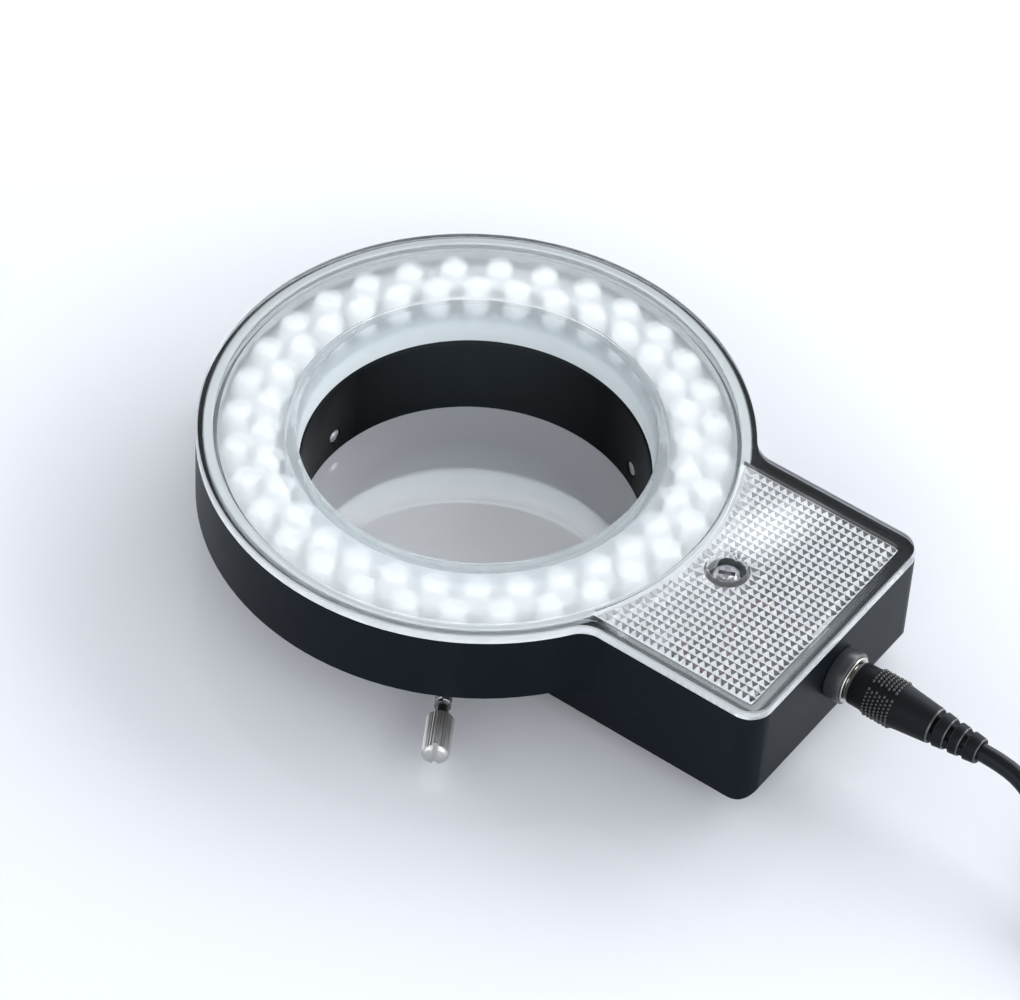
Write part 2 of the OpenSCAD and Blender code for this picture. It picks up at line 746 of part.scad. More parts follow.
module led_leads() {
    foot = driver_x[0] + 1.6 * lead_bore_d;
    top = tray_r - 2.4 * lead_bore_d;
    side = 5 * lead_bore_d;
    level = ring_floor + (board_z - ring_floor) * 0.45;
    for (s = [-1, 1]) color(s < 0 ? "red" : "#18181a") tube([
        [foot, s * side, driver_top], [foot, s * side, driver_top + 0.4 * lead_bore_d],
        [foot, s * side, level - 0.9 * lead_bore_d], [foot - 0.4 * lead_bore_d, s * side, level - 0.2 * lead_bore_d],
        [foot - 1.1 * lead_bore_d, s * side, level], [top + 0.7 * lead_bore_d, s * side, level],
        [top + 0.15 * lead_bore_d, s * side, level + 0.25 * lead_bore_d], [top, s * side, board_z - 0.35 * lead_bore_d],
        [top, s * side, board_z]
    ], lead_bore_d / 2, ref = [0, 1, 0]);
}

module jack_body() {
    color("#17181a") difference() {
        union() {
            along_x(collar_in) cylinder(d = collar_d, h = collar_l);
            along_x(jack_back) cylinder(d = jack_d, h = jack_l + cut);
        }
        along_x(socket_end) cylinder(r = socket_r, h = barrel_l + 4);
        along_x(jack_back + 1) cylinder(d = pin_d, h = jack_l);
    }
}

module jack_ring() {
    color("silver") along_x(collar_out) pipe(collar_d / 2 - 0.5, socket_r, ring_l);
}

module jack_nut() {
    color("silver") along_x(block_x - wall - nut_t) difference() {
        rotate([0, 0, 30]) cylinder(d = nut_af / cos(30), h = nut_t, $fn = 6);
        translate([0, 0, -cut]) cylinder(d = jack_d + 2 * thread_gap, h = nut_t + 2 * cut);
    }
}

module jack_contact() {
    color("goldenrod") along_x(socket_end) pipe(socket_r, contact_r, collar_out - socket_end);
}

module jack_pin() {
    color("silver") along_x(jack_back + 1) {
        cylinder(d = pin_d, h = collar_out - jack_back - 2.5);
        translate([0, 0, collar_out - jack_back - 2.5]) cylinder(d1 = pin_d, d2 = pin_d * 0.6, h = 0.5);
    }
}

module jack_tags() {
    color("silver") for (s = [-1, 1])
        translate([tag_x, s * tag_y - tag_t / 2, jack_z - tag_h / 2]) cube([tag_l, tag_t, tag_h]);
}

module plug_barrel() {
    color("silver") along_x(barrel_tip) pipe(barrel_d / 2, pin_d / 2 + 0.6, barrel_l);
}

module plug_insulator() {
    color("#d8a72c") along_x(barrel_tip) pipe(pin_d / 2 + 0.6, pin_d / 2 + seat_gap, barrel_l);
}

module plug_grip() {
    front = grip_d / 2;
    waist = front + 0.4;
    color("#1a1b1d") along_x(plug_x) rotate_extrude() polygon([
        [0, 0], [front - 0.5, 0], [front, 0.5], [front, 2.6], [waist, 3.6], [waist, 9],
        [front - 0.1, 10.2], [front * 0.83, grip_l], [0, grip_l]
    ]);
}

module plug_relief() {
    big = grip_d / 2 * 0.81;
    small = cord_r + 0.7;
    groove = relief_l / (2 * relief_ribs);
    color("#1a1b1d") along_x(relief_x) difference() {
        cylinder(r1 = big, r2 = small, h = relief_l);
        for (k = [0:relief_ribs - 1]) translate([0, 0, groove * (2 * k + 0.3)]) difference() {
            cylinder(r = big + 1, h = groove * 0.9);
            translate([0, 0, -cut]) cylinder(r = small - 0.35, h = groove + 2 * cut);
        }
    }
}

module cord_run() {
    color("#1a1b1d") tube(concat(
        [[cord_x, 0, jack_z]], run_points, [coil_path[0]]
    ), cord_r);
}

module cord_coil() {
    color("#1a1b1d") tube(coil_path, cord_r, 6);
}

module cord_ties() {
    low = coil_in - cord_r - tie_gap - tie_t;
    high = coil_out + cord_r + tie_gap + tie_t;
    tall = 2 * tie_t + cord_d + coil_step + 2 * seat_gap;
    color("#2d2e31") for (s = [-1, 1])
        translate([coil_at[0] + s * low, coil_at[1] + tie_w / 2, 0]) rotate([90, 0, 0])
        mirror([s < 0 ? 1 : 0, 0, 0]) linear_extrude(tie_w) difference() {
            square([high - low, tall]);
            translate([tie_t, tie_t]) square([high - low - 2 * tie_t, tall - 2 * tie_t]);
        }
}

module cord_tail() {
    color("#1a1b1d") tube(concat(
        [coil_path[len(coil_path) - 1]], tail_points, [[relief_end, coil_start, case_mid]]
    ), cord_r);
}

module adapter_relief() {
    color("#1a1b1d") translate([relief_end, coil_start, case_mid]) rotate([0, 90, 0]) {
        cylinder(r1 = cord_r + 0.5, r2 = cord_r + 1.6, h = case_x - relief_end);
    }
}

module adapter_case() {
    color("#202124") translate([case_x, coil_start - case_w / 2, 0]) difference() {
        linear_extrude(case_h - lid_t) rounded_plan(case_l, case_w, case_corner);
        translate([case_t, case_t, case_t]) linear_extrude(case_h)
            rounded_plan(case_l - 2 * case_t, case_w - 2 * case_t, case_corner - case_t);
    }
}

// Rectangle from the origin with four round corners
module rounded_plan(l, w, r) {
    translate([r, 0]) square([l - 2 * r, w]);
    translate([0, r]) square([l, w - 2 * r]);
    for (x = [r, l - r], y = [r, w - r]) translate([x, y]) circle(r = r);
}

module adapter_lid() {
    color("#1c1d20") translate([case_x, coil_start - case_w / 2, case_h - lid_t]) difference() {
        linear_extrude(lid_t) rounded_plan(case_l, case_w, case_corner);
        at_blades() translate([-blade_w / 2, -blade_t / 2, -cut]) cube([blade_w, blade_t, lid_t + 2 * cut]);
    }
}

// Puts a shape at both blades, from the case's corner
module at_blades() {
    for (s = [-1, 1]) translate([case_l * 0.36, case_w / 2 + s * blade_gap / 2, 0]) children();
}

module adapter_blades() {
    color("silver") translate([case_x, coil_start - case_w / 2, case_h - lid_t]) at_blades()
        difference() {
            translate([-blade_w / 2, -blade_t / 2, 0]) cube([blade_w, blade_t, lid_t + blade_l]);
            translate([0, blade_t, lid_t + blade_l - blade_hole_d]) rotate([90, 0, 0])
                cylinder(d = blade_hole_d, h = 2 * blade_t);
        }
}

module adapter_board() {
    color("darkgreen") translate([case_x + 1.5 * case_t, coil_start - case_w / 2 + 1.5 * case_t, case_t])
        cube([case_l - 3 * case_t, case_w - 3 * case_t, board_t]);
}

module adapter_transformer() {
    color("#5a4632") translate([case_x + case_l * 0.62, coil_start, case_t + board_t]) {
        for (z = [0, winding_h - winding_rim]) translate([-winding_l / 2, -winding_w / 2, z])
            cube([winding_l, winding_w, winding_rim]);
        translate([-winding_core / 2, -winding_core / 2, winding_rim - cut])
            cube([winding_core, winding_core, winding_h - 2 * winding_rim + 2 * cut]);
    }
}

housing();
cover();
cover_screw();
sleeve();
sleeve_screws();
thumbscrew(0);  // thumbscrew_1
thumbscrew(1);  // thumbscrew_2
thumbscrew(2);  // thumbscrew_3
clamp_pad(0);  // clamp_pad_1
clamp_pad(1);  // clamp_pad_2
clamp_pad(2);  // clamp_pad_3
led_board();
leds_outer();
leds_inner();
reflector();
driver_board();
board_screws();
driver_chip();
driver_choke();
smoothing_capacitor();
ballast_resistors();
lead_red();
lead_black();
led_leads();
jack_body();
jack_ring();
jack_nut();
jack_contact();
jack_pin();
jack_tags();
plug_barrel();
plug_insulator();
plug_grip();
plug_relief();
cord_run();
cord_coil();
cord_ties();
cord_tail();
adapter_relief();
adapter_case();
adapter_lid();
adapter_blades();
adapter_board();
adapter_transformer();
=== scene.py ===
from math import asin, atan2, cos, hypot, pi, radians, sin, sqrt, tau
import bpy
import bmesh
from mathutils import Matrix, Vector


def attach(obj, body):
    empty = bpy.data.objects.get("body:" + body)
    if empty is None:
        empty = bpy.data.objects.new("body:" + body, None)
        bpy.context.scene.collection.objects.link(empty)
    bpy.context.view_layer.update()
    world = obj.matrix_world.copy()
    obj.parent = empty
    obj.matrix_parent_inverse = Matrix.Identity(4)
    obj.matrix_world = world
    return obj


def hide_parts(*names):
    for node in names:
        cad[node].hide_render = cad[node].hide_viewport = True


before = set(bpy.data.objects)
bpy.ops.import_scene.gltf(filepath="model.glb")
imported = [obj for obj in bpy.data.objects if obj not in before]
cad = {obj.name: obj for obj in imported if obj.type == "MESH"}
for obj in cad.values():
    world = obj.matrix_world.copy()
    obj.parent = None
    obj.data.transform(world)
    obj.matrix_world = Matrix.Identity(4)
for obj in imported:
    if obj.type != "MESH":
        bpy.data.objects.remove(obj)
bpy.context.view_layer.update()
mm = 0.001


def linked(name, data):
    thing = bpy.data.objects.new(name, data)
    bpy.context.scene.collection.objects.link(thing)
    return thing


# camera, solved from the photo
cameraSet = {"place": (343.6967, -506.99506, 652.91147), "lens": 174.39, "sensor": 36, "clip": (0.01, 30),
             "right": (0.80576664, 0.59052521, 0.04494544), "up": (-0.4537879, 0.56685837, 0.68756682),
             "forward": (-0.38054785, 0.57441411, -0.72472876)}


def setCamera(size):
    lens = bpy.data.cameras.new("photoCamera")
    lens.sensor_fit, lens.sensor_width, lens.lens = "HORIZONTAL", size["sensor"], size["lens"]
    lens.clip_start, lens.clip_end = size["clip"]
    eye = linked("photoCamera", lens)
    turn = Matrix((size["right"], size["up"], -Vector(size["forward"]))).transposed().to_4x4()
    eye.matrix_world = Matrix.Translation(Vector(size["place"]) * mm) @ turn
    bpy.context.scene.camera = eye


setCamera(cameraSet)
print("camera: at the photo's angle")


# shader sums
class Tap:
    def __init__(self, finish, socket):
        self.finish, self.socket = finish, socket

    def sum(self, operation, first, second=0.0):
        return self.finish.node("Math", {"operation": operation}, {0: first, 1: second})

    def __add__(self, other):
        return self.sum("ADD", self, other)

    def __radd__(self, other):
        return self.sum("ADD", other, self)

    def __sub__(self, other):
        return self.sum("SUBTRACT", self, other)

    def __rsub__(self, other):
        return self.sum("SUBTRACT", other, self)

    def __mul__(self, other):
        return self.sum("MULTIPLY", self, other)

    def __rmul__(self, other):
        return self.sum("MULTIPLY", other, self)

    def __lt__(self, other):
        return self.sum("LESS_THAN", self, other)

    def __abs__(self):
        return self.sum("ABSOLUTE", self)


class Finish:
    def __init__(self, name, kind="Material"):
        shelf = bpy.data.worlds if kind == "World" else bpy.data.materials
        self.material = shelf.new(name)
        self.material.use_nodes = True
        self.tree = self.material.node_tree
        self.tree.nodes.clear()
        self.end = self.tree.nodes.new("ShaderNodeOutput" + kind)

    def node(self, kind, settings=None, sockets=None, out=0):
        made = self.tree.nodes.new("ShaderNode" + kind)
        for key, value in (settings or {}).items():
            if key == "stops":
                ramp = made.color_ramp
                ramp.elements.remove(ramp.elements[1])
                ramp.elements[0].position, ramp.elements[0].color = value[0]
                for place, colour in value[1:]:
                    ramp.elements.new(place).color = colour
            else:
                setattr(made, key, value)
        for key, value in (sockets or {}).items():
            if isinstance(value, Tap):
                self.tree.links.new(value.socket, made.inputs[key])
            else:
                made.inputs[key].default_value = value
        return Tap(self, made.outputs[out])

    def place(self, scale=(1, 1, 1)):
        return self.node("Mapping", {}, {"Vector": self.node("TexCoord", out="Object"), "Scale": scale})

    def noise(self, scale, detail=2.0, rough=0.5, stretch=(1, 1, 1)):
        return self.node("TexNoise", {}, {"Vector": self.place(stretch), "Scale": scale, "Detail": detail,
                                          "Roughness": rough})

    def blend(self, factor, low, high):
        return self.node("Mix", {"data_type": "RGBA"}, {"Factor": factor, 6: low, 7: high}, 2)

    def bump(self, height, strength, depth):
        return self.node("Bump", {}, {"Height": height, "Strength": strength, "Distance": depth})

    def axis(self, letter):
        return self.node("SeparateXYZ", {}, {0: self.node("TexCoord", out="Object")}, letter)

    def length(self, vector):
        return self.node("VectorMath", {"operation": "LENGTH"}, {0: vector}, "Value")

    def dot(self, vector, way):
        return self.node("VectorMath", {"operation": "DOT_PRODUCT"}, {0: vector, 1: way}, "Value")

    def reach(self):  # distance from the bore's axis
        return self.length(self.place((1, 1, 0)))

    def along(self, way):  # distance from the bore's axis in one level direction
        return self.dot(self.place(), way)

    def slide(self, value, low, high, start=0.0, end=1.0, soft=False):
        return self.node("MapRange", {"interpolation_type": "SMOOTHSTEP" if soft else "LINEAR"},
                         {"Value": value, "From Min": low, "From Max": high, "To Min": start, "To Max": end})

    def fade(self, value, span, levels=(0.0, 1.0), soft=False):  # span in mm
        return self.slide(value, span[0] * mm, span[1] * mm, *levels, soft)

    def ramp(self, value, stops):  # pairs of a place and a grey level
        return self.node("ValToRGB", {"stops": [(at, shade(level)) for at, level in stops]}, {0: value})

    def shader(self, sockets):
        return self.node("BsdfPrincipled", {}, sockets)

    def wear(self, surface):
        self.tree.links.new(surface.socket, self.end.inputs["Surface"])
        return self.material

    def done(self, sockets):
        return self.wear(self.shader(sockets))


def shade(r, g=None, b=None):
    return (r, r if g is None else g, r if b is None else b, 1.0)


# one moulded or cast finish: two close colours, grain and uneven gloss
def grainFinish(name, dark, light, rough, spread, grainScale, grainDepth, metal=0.0, cloud=90, extra=None,
                stretch=(1, 1, 1), strength=0.6, tone=None):
    f = Finish(name)
    grain = f.noise(grainScale, 3, 0.6, stretch)
    patch = f.noise(cloud, 2, 0.5)
    gloss = rough + spread * (patch - 0.5) + 0.5 * spread * (grain - 0.5)
    colour = f.blend(tone(f) if tone else patch, dark, light)
    return f.done({"Base Color": colour, "Roughness": gloss, "Metallic": metal,
                   "Normal": f.bump(grain, strength, grainDepth), **(extra or {})})


def metalFinish(name, dark, light, rough):
    return grainFinish(name, dark, light, rough, 0.10, 1500, 0.00001, 1.0, cloud=260, strength=0.25)


# level directions as the photo shows the part
backWay, rightWay = (-0.553, 0.834, 0), (0.806, 0.591, 0)
# colours and span of the painted sheen on the sleeve's back wall
paintedSheenLook = {"dark": shade(0.0026, 0.0034, 0.0044), "light": shade(0.017, 0.021, 0.024), "span": (22, 31.4)}


# painted highlight: the sleeve's back wall is lighter, a soft sheen painted into its base colour
def sleevePaintedSheen(f):
    return f.fade(f.along(backWay), paintedSheenLook["span"])


dullGloss = {"Specular IOR Level": 0.03}
faintGloss = {"Specular IOR Level": 0.09, "Specular Tint": shade(0.60, 0.78, 1.0)}
softGloss = {"Specular IOR Level": 0.16, "Specular Tint": shade(0.75, 0.87, 1.0)}
housingBlack = grainFinish("housingBlack", shade(0.0018, 0.0032, 0.0054), shade(0.0028, 0.0044, 0.0070), 0.40,
                           0.10, 3200, 0.00007, strength=0.8, extra=faintGloss)
sleeveBlack = grainFinish("sleeveBlack", paintedSheenLook["dark"], paintedSheenLook["light"], 0.24, 0.06, 900, 0.00002,
                          stretch=(0.12, 0.12, 7), strength=0.35, extra=dullGloss, tone=sleevePaintedSheen)
nickel = metalFinish("nickel", shade(0.82, 0.81, 0.79), shade(0.90, 0.89, 0.87), 0.20)
knurlNickel = metalFinish("knurlNickel", shade(0.72, 0.715, 0.70), shade(0.82, 0.81, 0.80), 0.42)
endNickel = metalFinish("endNickel", shade(0.48, 0.48, 0.475), shade(0.57, 0.57, 0.56), 0.44)
shankSteel = metalFinish("shankSteel", shade(0.17, 0.17, 0.175), shade(0.27, 0.27, 0.28), 0.36)
collarNickel = metalFinish("collarNickel", shade(0.42, 0.41, 0.385), shade(0.55, 0.54, 0.51), 0.26)
steelScrew = grainFinish("steelScrew", shade(0.40, 0.41, 0.43), shade(0.54, 0.55, 0.57), 0.22, 0.12, 1800,
                         0.00001, 1.0, cloud=320, strength=0.3)
screwBlack = grainFinish("screwBlack", shade(0.014), shade(0.026, 0.026, 0.028), 0.36, 0.12, 1600, 0.00002,
                         0.6)
chipBlack = grainFinish("chipBlack", shade(0.016), shade(0.026, 0.026, 0.028), 0.5, 0.1, 3000, 0.00002)
ferrite = grainFinish("ferrite", shade(0.030, 0.028, 0.027), shade(0.065, 0.058, 0.052), 0.55, 0.12, 1500,
                      0.00004)
capacitorSleeve = grainFinish("capacitorSleeve", shade(0.012, 0.015, 0.038), shade(0.020, 0.024, 0.055), 0.25,
                              0.06, 600, 0.00001)
wireRed = grainFinish("wireRed", shade(0.095, 0.014, 0.016), shade(0.14, 0.020, 0.022), 0.38, 0.08, 900,
                      0.00001)
wireBlack = grainFinish("wireBlack", shade(0.010), shade(0.017), 0.4, 0.08, 900, 0.00001)
brass = grainFinish("brass", shade(0.62, 0.44, 0.19), shade(0.76, 0.56, 0.27), 0.24, 0.1, 1500, 0.00001, 1.0)
jackBlack = grainFinish("jackBlack", shade(0.019, 0.021, 0.025), shade(0.027, 0.030, 0.035), 0.30, 0.10, 1900,
                        0.00003)
insulatorYellow = grainFinish("insulatorYellow", shade(0.62, 0.36, 0.06), shade(0.72, 0.44, 0.09), 0.42, 0.08,
                              1500, 0.00001)
plugBlack = grainFinish("plugBlack", shade(0.0048, 0.0052, 0.0058), shade(0.0078, 0.0082, 0.0090), 0.44, 0.12,
                        2200, 0.00003, extra=faintGloss)
plugDot = grainFinish("plugDot", shade(0.007, 0.0075, 0.0085), shade(0.012, 0.0125, 0.014), 0.24, 0.08, 2200,
                      0.00002)
# lighter finish for the painted edge highlights on the plug
plugEdgeHighlight = grainFinish("plugEdgeHighlight", shade(0.021, 0.022, 0.024), shade(0.047, 0.049, 0.052), 0.30, 0.12, 2200,
                       0.00003)
cordBlack = grainFinish("cordBlack", shade(0.0045, 0.0048, 0.0054), shade(0.0080, 0.0083, 0.0092), 0.32, 0.12,
                        1100, 0.00003, extra=softGloss)
adapterBlack = grainFinish("adapterBlack", shade(0.0060, 0.0065, 0.0074), shade(0.0092, 0.0098, 0.0108), 0.45,
                           0.10, 2300, 0.00008, strength=0.7, extra=softGloss)


# driver board: solder mask over copper runs and pads
def boardFinish(name):
    f = Finish(name)
    runs = f.node("TexVoronoi", {"feature": "DISTANCE_TO_EDGE", "distance": "EUCLIDEAN"},
                  {"Vector": f.place(), "Scale": 240, "Randomness": 0.35})
    track = runs < 0.16
    mask = f.blend(track, shade(0.008, 0.020, 0.015), shade(0.014, 0.038, 0.028))
    grain = f.noise(1600, 2)
    return f.done({"Base Color": mask, "Roughness": 0.30 + 0.12 * grain,
                   "Normal": f.bump(track + 0.2 * grain, 0.4, 0.00003)})


boardGreen = boardFinish("boardGreen")


# woven tie: two crossed sets of ribs
def strapFinish(name):
    f = Finish(name)
    warp, weft = [f.node("TexWave", {"wave_type": "BANDS", "bands_direction": way},
                         {"Vector": f.place(), "Scale": scale, "Distortion": uneven, "Detail": 1})
                  for way, scale, uneven in (("Y", 420, 0.4), ("X", 300, 0.6))]
    weave = 0.5 * warp + 0.5 * weft
    fuzz = f.noise(2500, 3)
    colour = f.blend(weave, shade(0.016, 0.0165, 0.018), shade(0.050, 0.051, 0.055))
    return f.done({"Base Color": colour, "Roughness": 0.78 + 0.14 * fuzz, "Sheen Weight": 0.25,
                   "Normal": f.bump(weave + 0.3 * fuzz, 0.7, 0.00015)})


strapGrey = strapFinish("strapGrey")


# LED body: epoxy that glows most on its dome
ledLook = {"high": (17.0, 24.7), "power": 0.31, "body": shade(0.48, 0.50, 0.51),
           "glow": [(0.0, shade(0.16, 0.20, 0.22)), (0.32, shade(0.24, 0.29, 0.31)), (0.47, shade(1.0))]}


def ledFinish(name, look):
    f = Finish(name)
    level = f.fade(f.axis("Z"), look["high"])
    cloud = f.noise(500, 2)
    glow = f.node("ValToRGB", {"stops": look["glow"]}, {0: level})
    return f.done({"Base Color": look["body"], "Roughness": 0.22 + 0.1 * cloud, "Emission Color": glow,
                   "Emission Strength": look["power"], "Coat Weight": 0.4})


ledWhite = ledFinish("ledWhite", ledLook)


# white mouldings round the LEDs, with painted glow standing for their light, from the inner row outwards and
# low down
litLook = {"near": (33.5, 37.0), "high": (18.6, 22.0), "glow": shade(0.86, 0.93, 0.96), "power": 0.25}


def paintedGlowFinish(name, dark, light, look):
    f = Finish(name)
    cloud = f.noise(120, 2)
    level = f.fade(f.reach(), look["near"]) * f.fade(f.axis("Z"), look["high"], (1, 0))
    return f.done({"Base Color": f.blend(cloud, dark, light), "Roughness": 0.38 + 0.08 * cloud,
                   "Emission Color": f.blend(level, shade(0.0), look["glow"]),
                   "Emission Strength": look["power"], "Normal": f.bump(f.noise(900, 2), 0.4, 0.00002)})


reflectorWhite = paintedGlowFinish("reflectorWhite", shade(0.06, 0.10, 0.115), shade(0.085, 0.125, 0.14), litLook)
boardWhite = paintedGlowFinish("boardWhite", shade(0.36, 0.40, 0.41), shade(0.42, 0.46, 0.47), litLook)


# clear cover: polished acrylic, with a veil of scattered light where it is milky; the veil's glow is painted
# light
coverLook = {"tint": shade(0.95, 0.97, 0.985), "milk": shade(0.80, 0.86, 0.885),
             "glow": shade(0.80, 0.90, 0.94), "ring": (32.6, 47.0),
             "ringVeil": [(0.0, 0.12), (0.80, 0.12), (0.86, 0.06), (1.0, 0.06)],
             "skirt": (21.0, 22.6), "skirtVeil": (0.46, 0.12)}
rimLook = {"tint": shade(0.88, 0.90, 0.92), "milk": shade(0.74, 0.80, 0.82), "glow": shade(0.80, 0.90, 0.94),
           "wall": (48.4, 48.8), "wallVeil": (0.40, 0.0), "rib": (24.8, 25.02), "ribShare": (0.3, 1.0),
           "panel": (22.8, 74.5), "wide": 3.4, "block": (50, 54), "near": (-20, 18), "nearVeil": (0.20, 0.0),
           "band": [(0.10, 0.05), (0.24, 1.0), (0.56, 0.8), (0.66, 0.1), (0.78, 0.1), (0.90, 1.0)]}
paintedGlowEdgeLook = {"tint": shade(0.80, 0.815, 0.83), "milk": shade(0.56, 0.585, 0.61),
            "glow": shade(0.80, 0.86, 0.90), "end": (73, 77.5), "veil": (0.55, 0.32)}
farShadeLook = {"tint": shade(0.80, 0.82, 0.84), "milk": shade(0.42, 0.44, 0.47), "glow": shade(0.0),
           "side": (10, 40), "veil": (0.30, 0.75)}
frostLook = {"tint": shade(0.95, 0.97, 0.98), "milk": shade(0.86, 0.885, 0.895),
             "glow": shade(0.94, 0.96, 0.97)}
panelLook = {"tint": shade(0.95, 0.955, 0.965), "milk": shade(0.82, 0.84, 0.865),
             "glow": shade(0.86, 0.89, 0.92), "patch": (54.5, 12.0, 26.9), "glareTurn": -20,
             "glareWide": (8.0, 15.5, 40), "glareVeil": (0.22, 0.03), "facets": (49, 62),
             "paintedShadeFacetVeil": (0.32, 0.0)}


def acrylicFinish(name, look, rough, veil, glow, grainDepth=0.000002, grainScale=500, bend=1.49):
    f = Finish(name)
    haze = f.noise(grainScale, 2)
    bump = f.bump(haze, 0.15, grainDepth)
    clear = f.shader({"Base Color": look["tint"], "Roughness": rough + 0.25 * rough * (haze - 0.5),
                      "IOR": bend, "Transmission Weight": 1.0, "Normal": bump})
    milk = f.shader({"Base Color": look["milk"], "Roughness": 0.35 + 0.1 * haze,
                     "Emission Color": look["glow"], "Emission Strength": glow, "Normal": bump})
    amount = veil(f) if callable(veil) else veil
    return f.wear(f.node("MixShader", {}, {0: amount, 1: clear, 2: milk}))


# the rim is clear over the housing's wall and milky inside it round the ring, less so in the ribs below,
# with a grey band of painted light on the block's near side
def rimVeil(f):
    look, x, y = rimLook, f.axis("X"), f.axis("Y")
    half, end = look["panel"]
    out = y.sum("MAXIMUM", abs(y) - half * mm, x - end * mm)
    band = f.ramp(f.fade(out, (0.0, look["wide"])), look["band"])
    # painted light: the band shows only on the block's near side
    near = f.fade(f.reach(), look["block"]) * f.fade(y, look["near"], look["nearVeil"])
    rib = f.fade(f.axis("Z"), look["rib"], look["ribShare"])
    return f.fade(f.reach(), look["wall"], look["wallVeil"]) * rib + near * band


# painted light: the near edge is milky and glowing, standing for the LEDs' light coming out of it, less so at
# the block's end
def paintedGlowEdgeVeil(f):
    return f.fade(f.axis("X"), paintedGlowEdgeLook["end"], paintedGlowEdgeLook["veil"])


# painted shade: the far edge is greyer towards the sides, standing for the housing's black seen in it
def farShadeVeil(f):
    return f.fade(abs(f.along(rightWay)), farShadeLook["side"], farShadeLook["veil"])


# the plate is a little milky over the LEDs and clearer outside them
def ringVeil(f):
    return f.ramp(f.fade(f.reach(), coverLook["ring"]), coverLook["ringVeil"])


# painted highlight: a soft bright glare beside the screw, standing for a lamp's reflection in the panel
def panelGlareVeil(f):
    look = panelLook
    spot = f.node("Mapping", {"vector_type": "TEXTURE"}, {
        "Vector": f.node("TexCoord", out="Object"), "Location": [c * mm for c in look["patch"]],
        "Rotation": (0, 0, radians(look["glareTurn"])), "Scale": [c * mm for c in look["glareWide"]]})
    return f.slide(f.length(spot), 0.0, 1.0, *look["glareVeil"], soft=True)


# the skirt is milky low down and clearer above
def skirtVeil(f):
    return f.fade(f.axis("Z"), coverLook["skirt"], coverLook["skirtVeil"])


# painted light: each LED's beam as a soft glowing round spot on the frosted underside, which is hazier on the
# near side
spotLook = {"rows": ((37.3, 2.8125), (42.5, 8.4375)), "count": 32, "wide": (1.9, 2.9), "spot": 0.34,
            "haze": [(0.0, 0.10), (0.22, 0.10), (0.34, 0.40), (0.62, 0.38), (0.80, 0.03), (1.0, 0.03)],
            "zone": (33, 47), "front": (-20, 25), "frontHaze": (0.30, 0.0), "outer": (41.5, 44)}


def frostPaintedSpots(f):
    look, x, y = spotLook, f.axis("X"), f.axis("Y")
    step = tau / look["count"]
    spots = 0.0
    for reach, first in look["rows"]:
        share = (y.sum("ARCTAN2", y, x) - radians(first)) * (1 / step) + 0.5
        along = (share.sum("FRACT", share) - 0.5) * (step * reach * mm)
        away = f.length(f.node("CombineXYZ", {}, {0: along, 1: f.reach() - reach * mm}))
        spots = spots + f.fade(away, look["wide"], (1, 0), True)
    haze = f.ramp(f.fade(f.reach(), look["zone"]), look["haze"])
    front = f.fade(f.along(backWay), look["front"], look["frontHaze"]) * f.fade(f.reach(), look["outer"])
    return look["spot"] * spots + haze + front


# painted light and shade: facets that look towards the ring are pale and glowing, the others darker the
# further they are from it
def paintedShadeFacetVeil(f):
    return f.fade(f.reach(), panelLook["facets"], panelLook["paintedShadeFacetVeil"])


# painted light on the cover's near edge
coverGlowEdge = acrylicFinish("coverGlowEdge", paintedGlowEdgeLook, 0.06, paintedGlowEdgeVeil, 0.05)
coverRim = acrylicFinish("coverRim", rimLook, 0.05, rimVeil, 0.02, bend=1.32)
coverMilk = acrylicFinish("coverMilk", coverLook, 0.08, ringVeil, 0.03, bend=1.32)
coverFrost = acrylicFinish("coverFrost", frostLook, 0.45, frostPaintedSpots, 0.18, 0.000005, 900, 1.32)
coverSkirt = acrylicFinish("coverSkirt", coverLook, 0.30, skirtVeil, 0.10, 0.00001, 900, 1.2)
coverMouth = acrylicFinish("coverMouth", coverLook, 0.22, 0.11, 0.05, bend=1.04)
coverPrism = acrylicFinish("coverPrism", panelLook, 0.02, panelGlareVeil, 0.95)
coverWell = acrylicFinish("coverWell", panelLook, 0.04, 0.06, 0)
coverPaintedLightFacet = acrylicFinish("coverPaintedLightFacet", panelLook, 0.05, 0.55, 0.27)
coverPaintedShadeFacet = acrylicFinish("coverPaintedShadeFacet", panelLook, 0.03, paintedShadeFacetVeil, 0.22)
coverFarShade = acrylicFinish("coverFarShade", farShadeLook, 0.12, farShadeVeil, 0.0, bend=1.32)
print("finishes: ready")


# small helpers for pieces and their meshes
def enrol(piece, body, nodes):
    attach(piece, body)
    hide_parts(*nodes)
    return piece


def sit(name, bm, finishes, body, node, sharp, weighted=False):
    mesh = bpy.data.meshes.new(name)
    bm.to_mesh(mesh)
    bm.free()
    mesh.polygons.foreach_set("use_smooth", [True] * len(mesh.polygons))
    mesh.set_sharp_from_angle(angle=radians(sharp))
    piece = linked(name, mesh)
    for finish in finishes:
        mesh.materials.append(finish)
    if weighted:
        even = piece.modifiers.new("evenNormals", "WEIGHTED_NORMAL")
        even.keep_sharp = True
    return enrol(piece, body, [node])


def paint(faces, finish):
    for face in faces:
        face.material_index = finish
    return faces


def outward(bm, dist=1e-7):
    bmesh.ops.remove_doubles(bm, verts=bm.verts, dist=dist)
    bmesh.ops.recalc_face_normals(bm, faces=bm.faces)


def fresh(bm, before):
    return [e for e in bm.edges if e not in before]


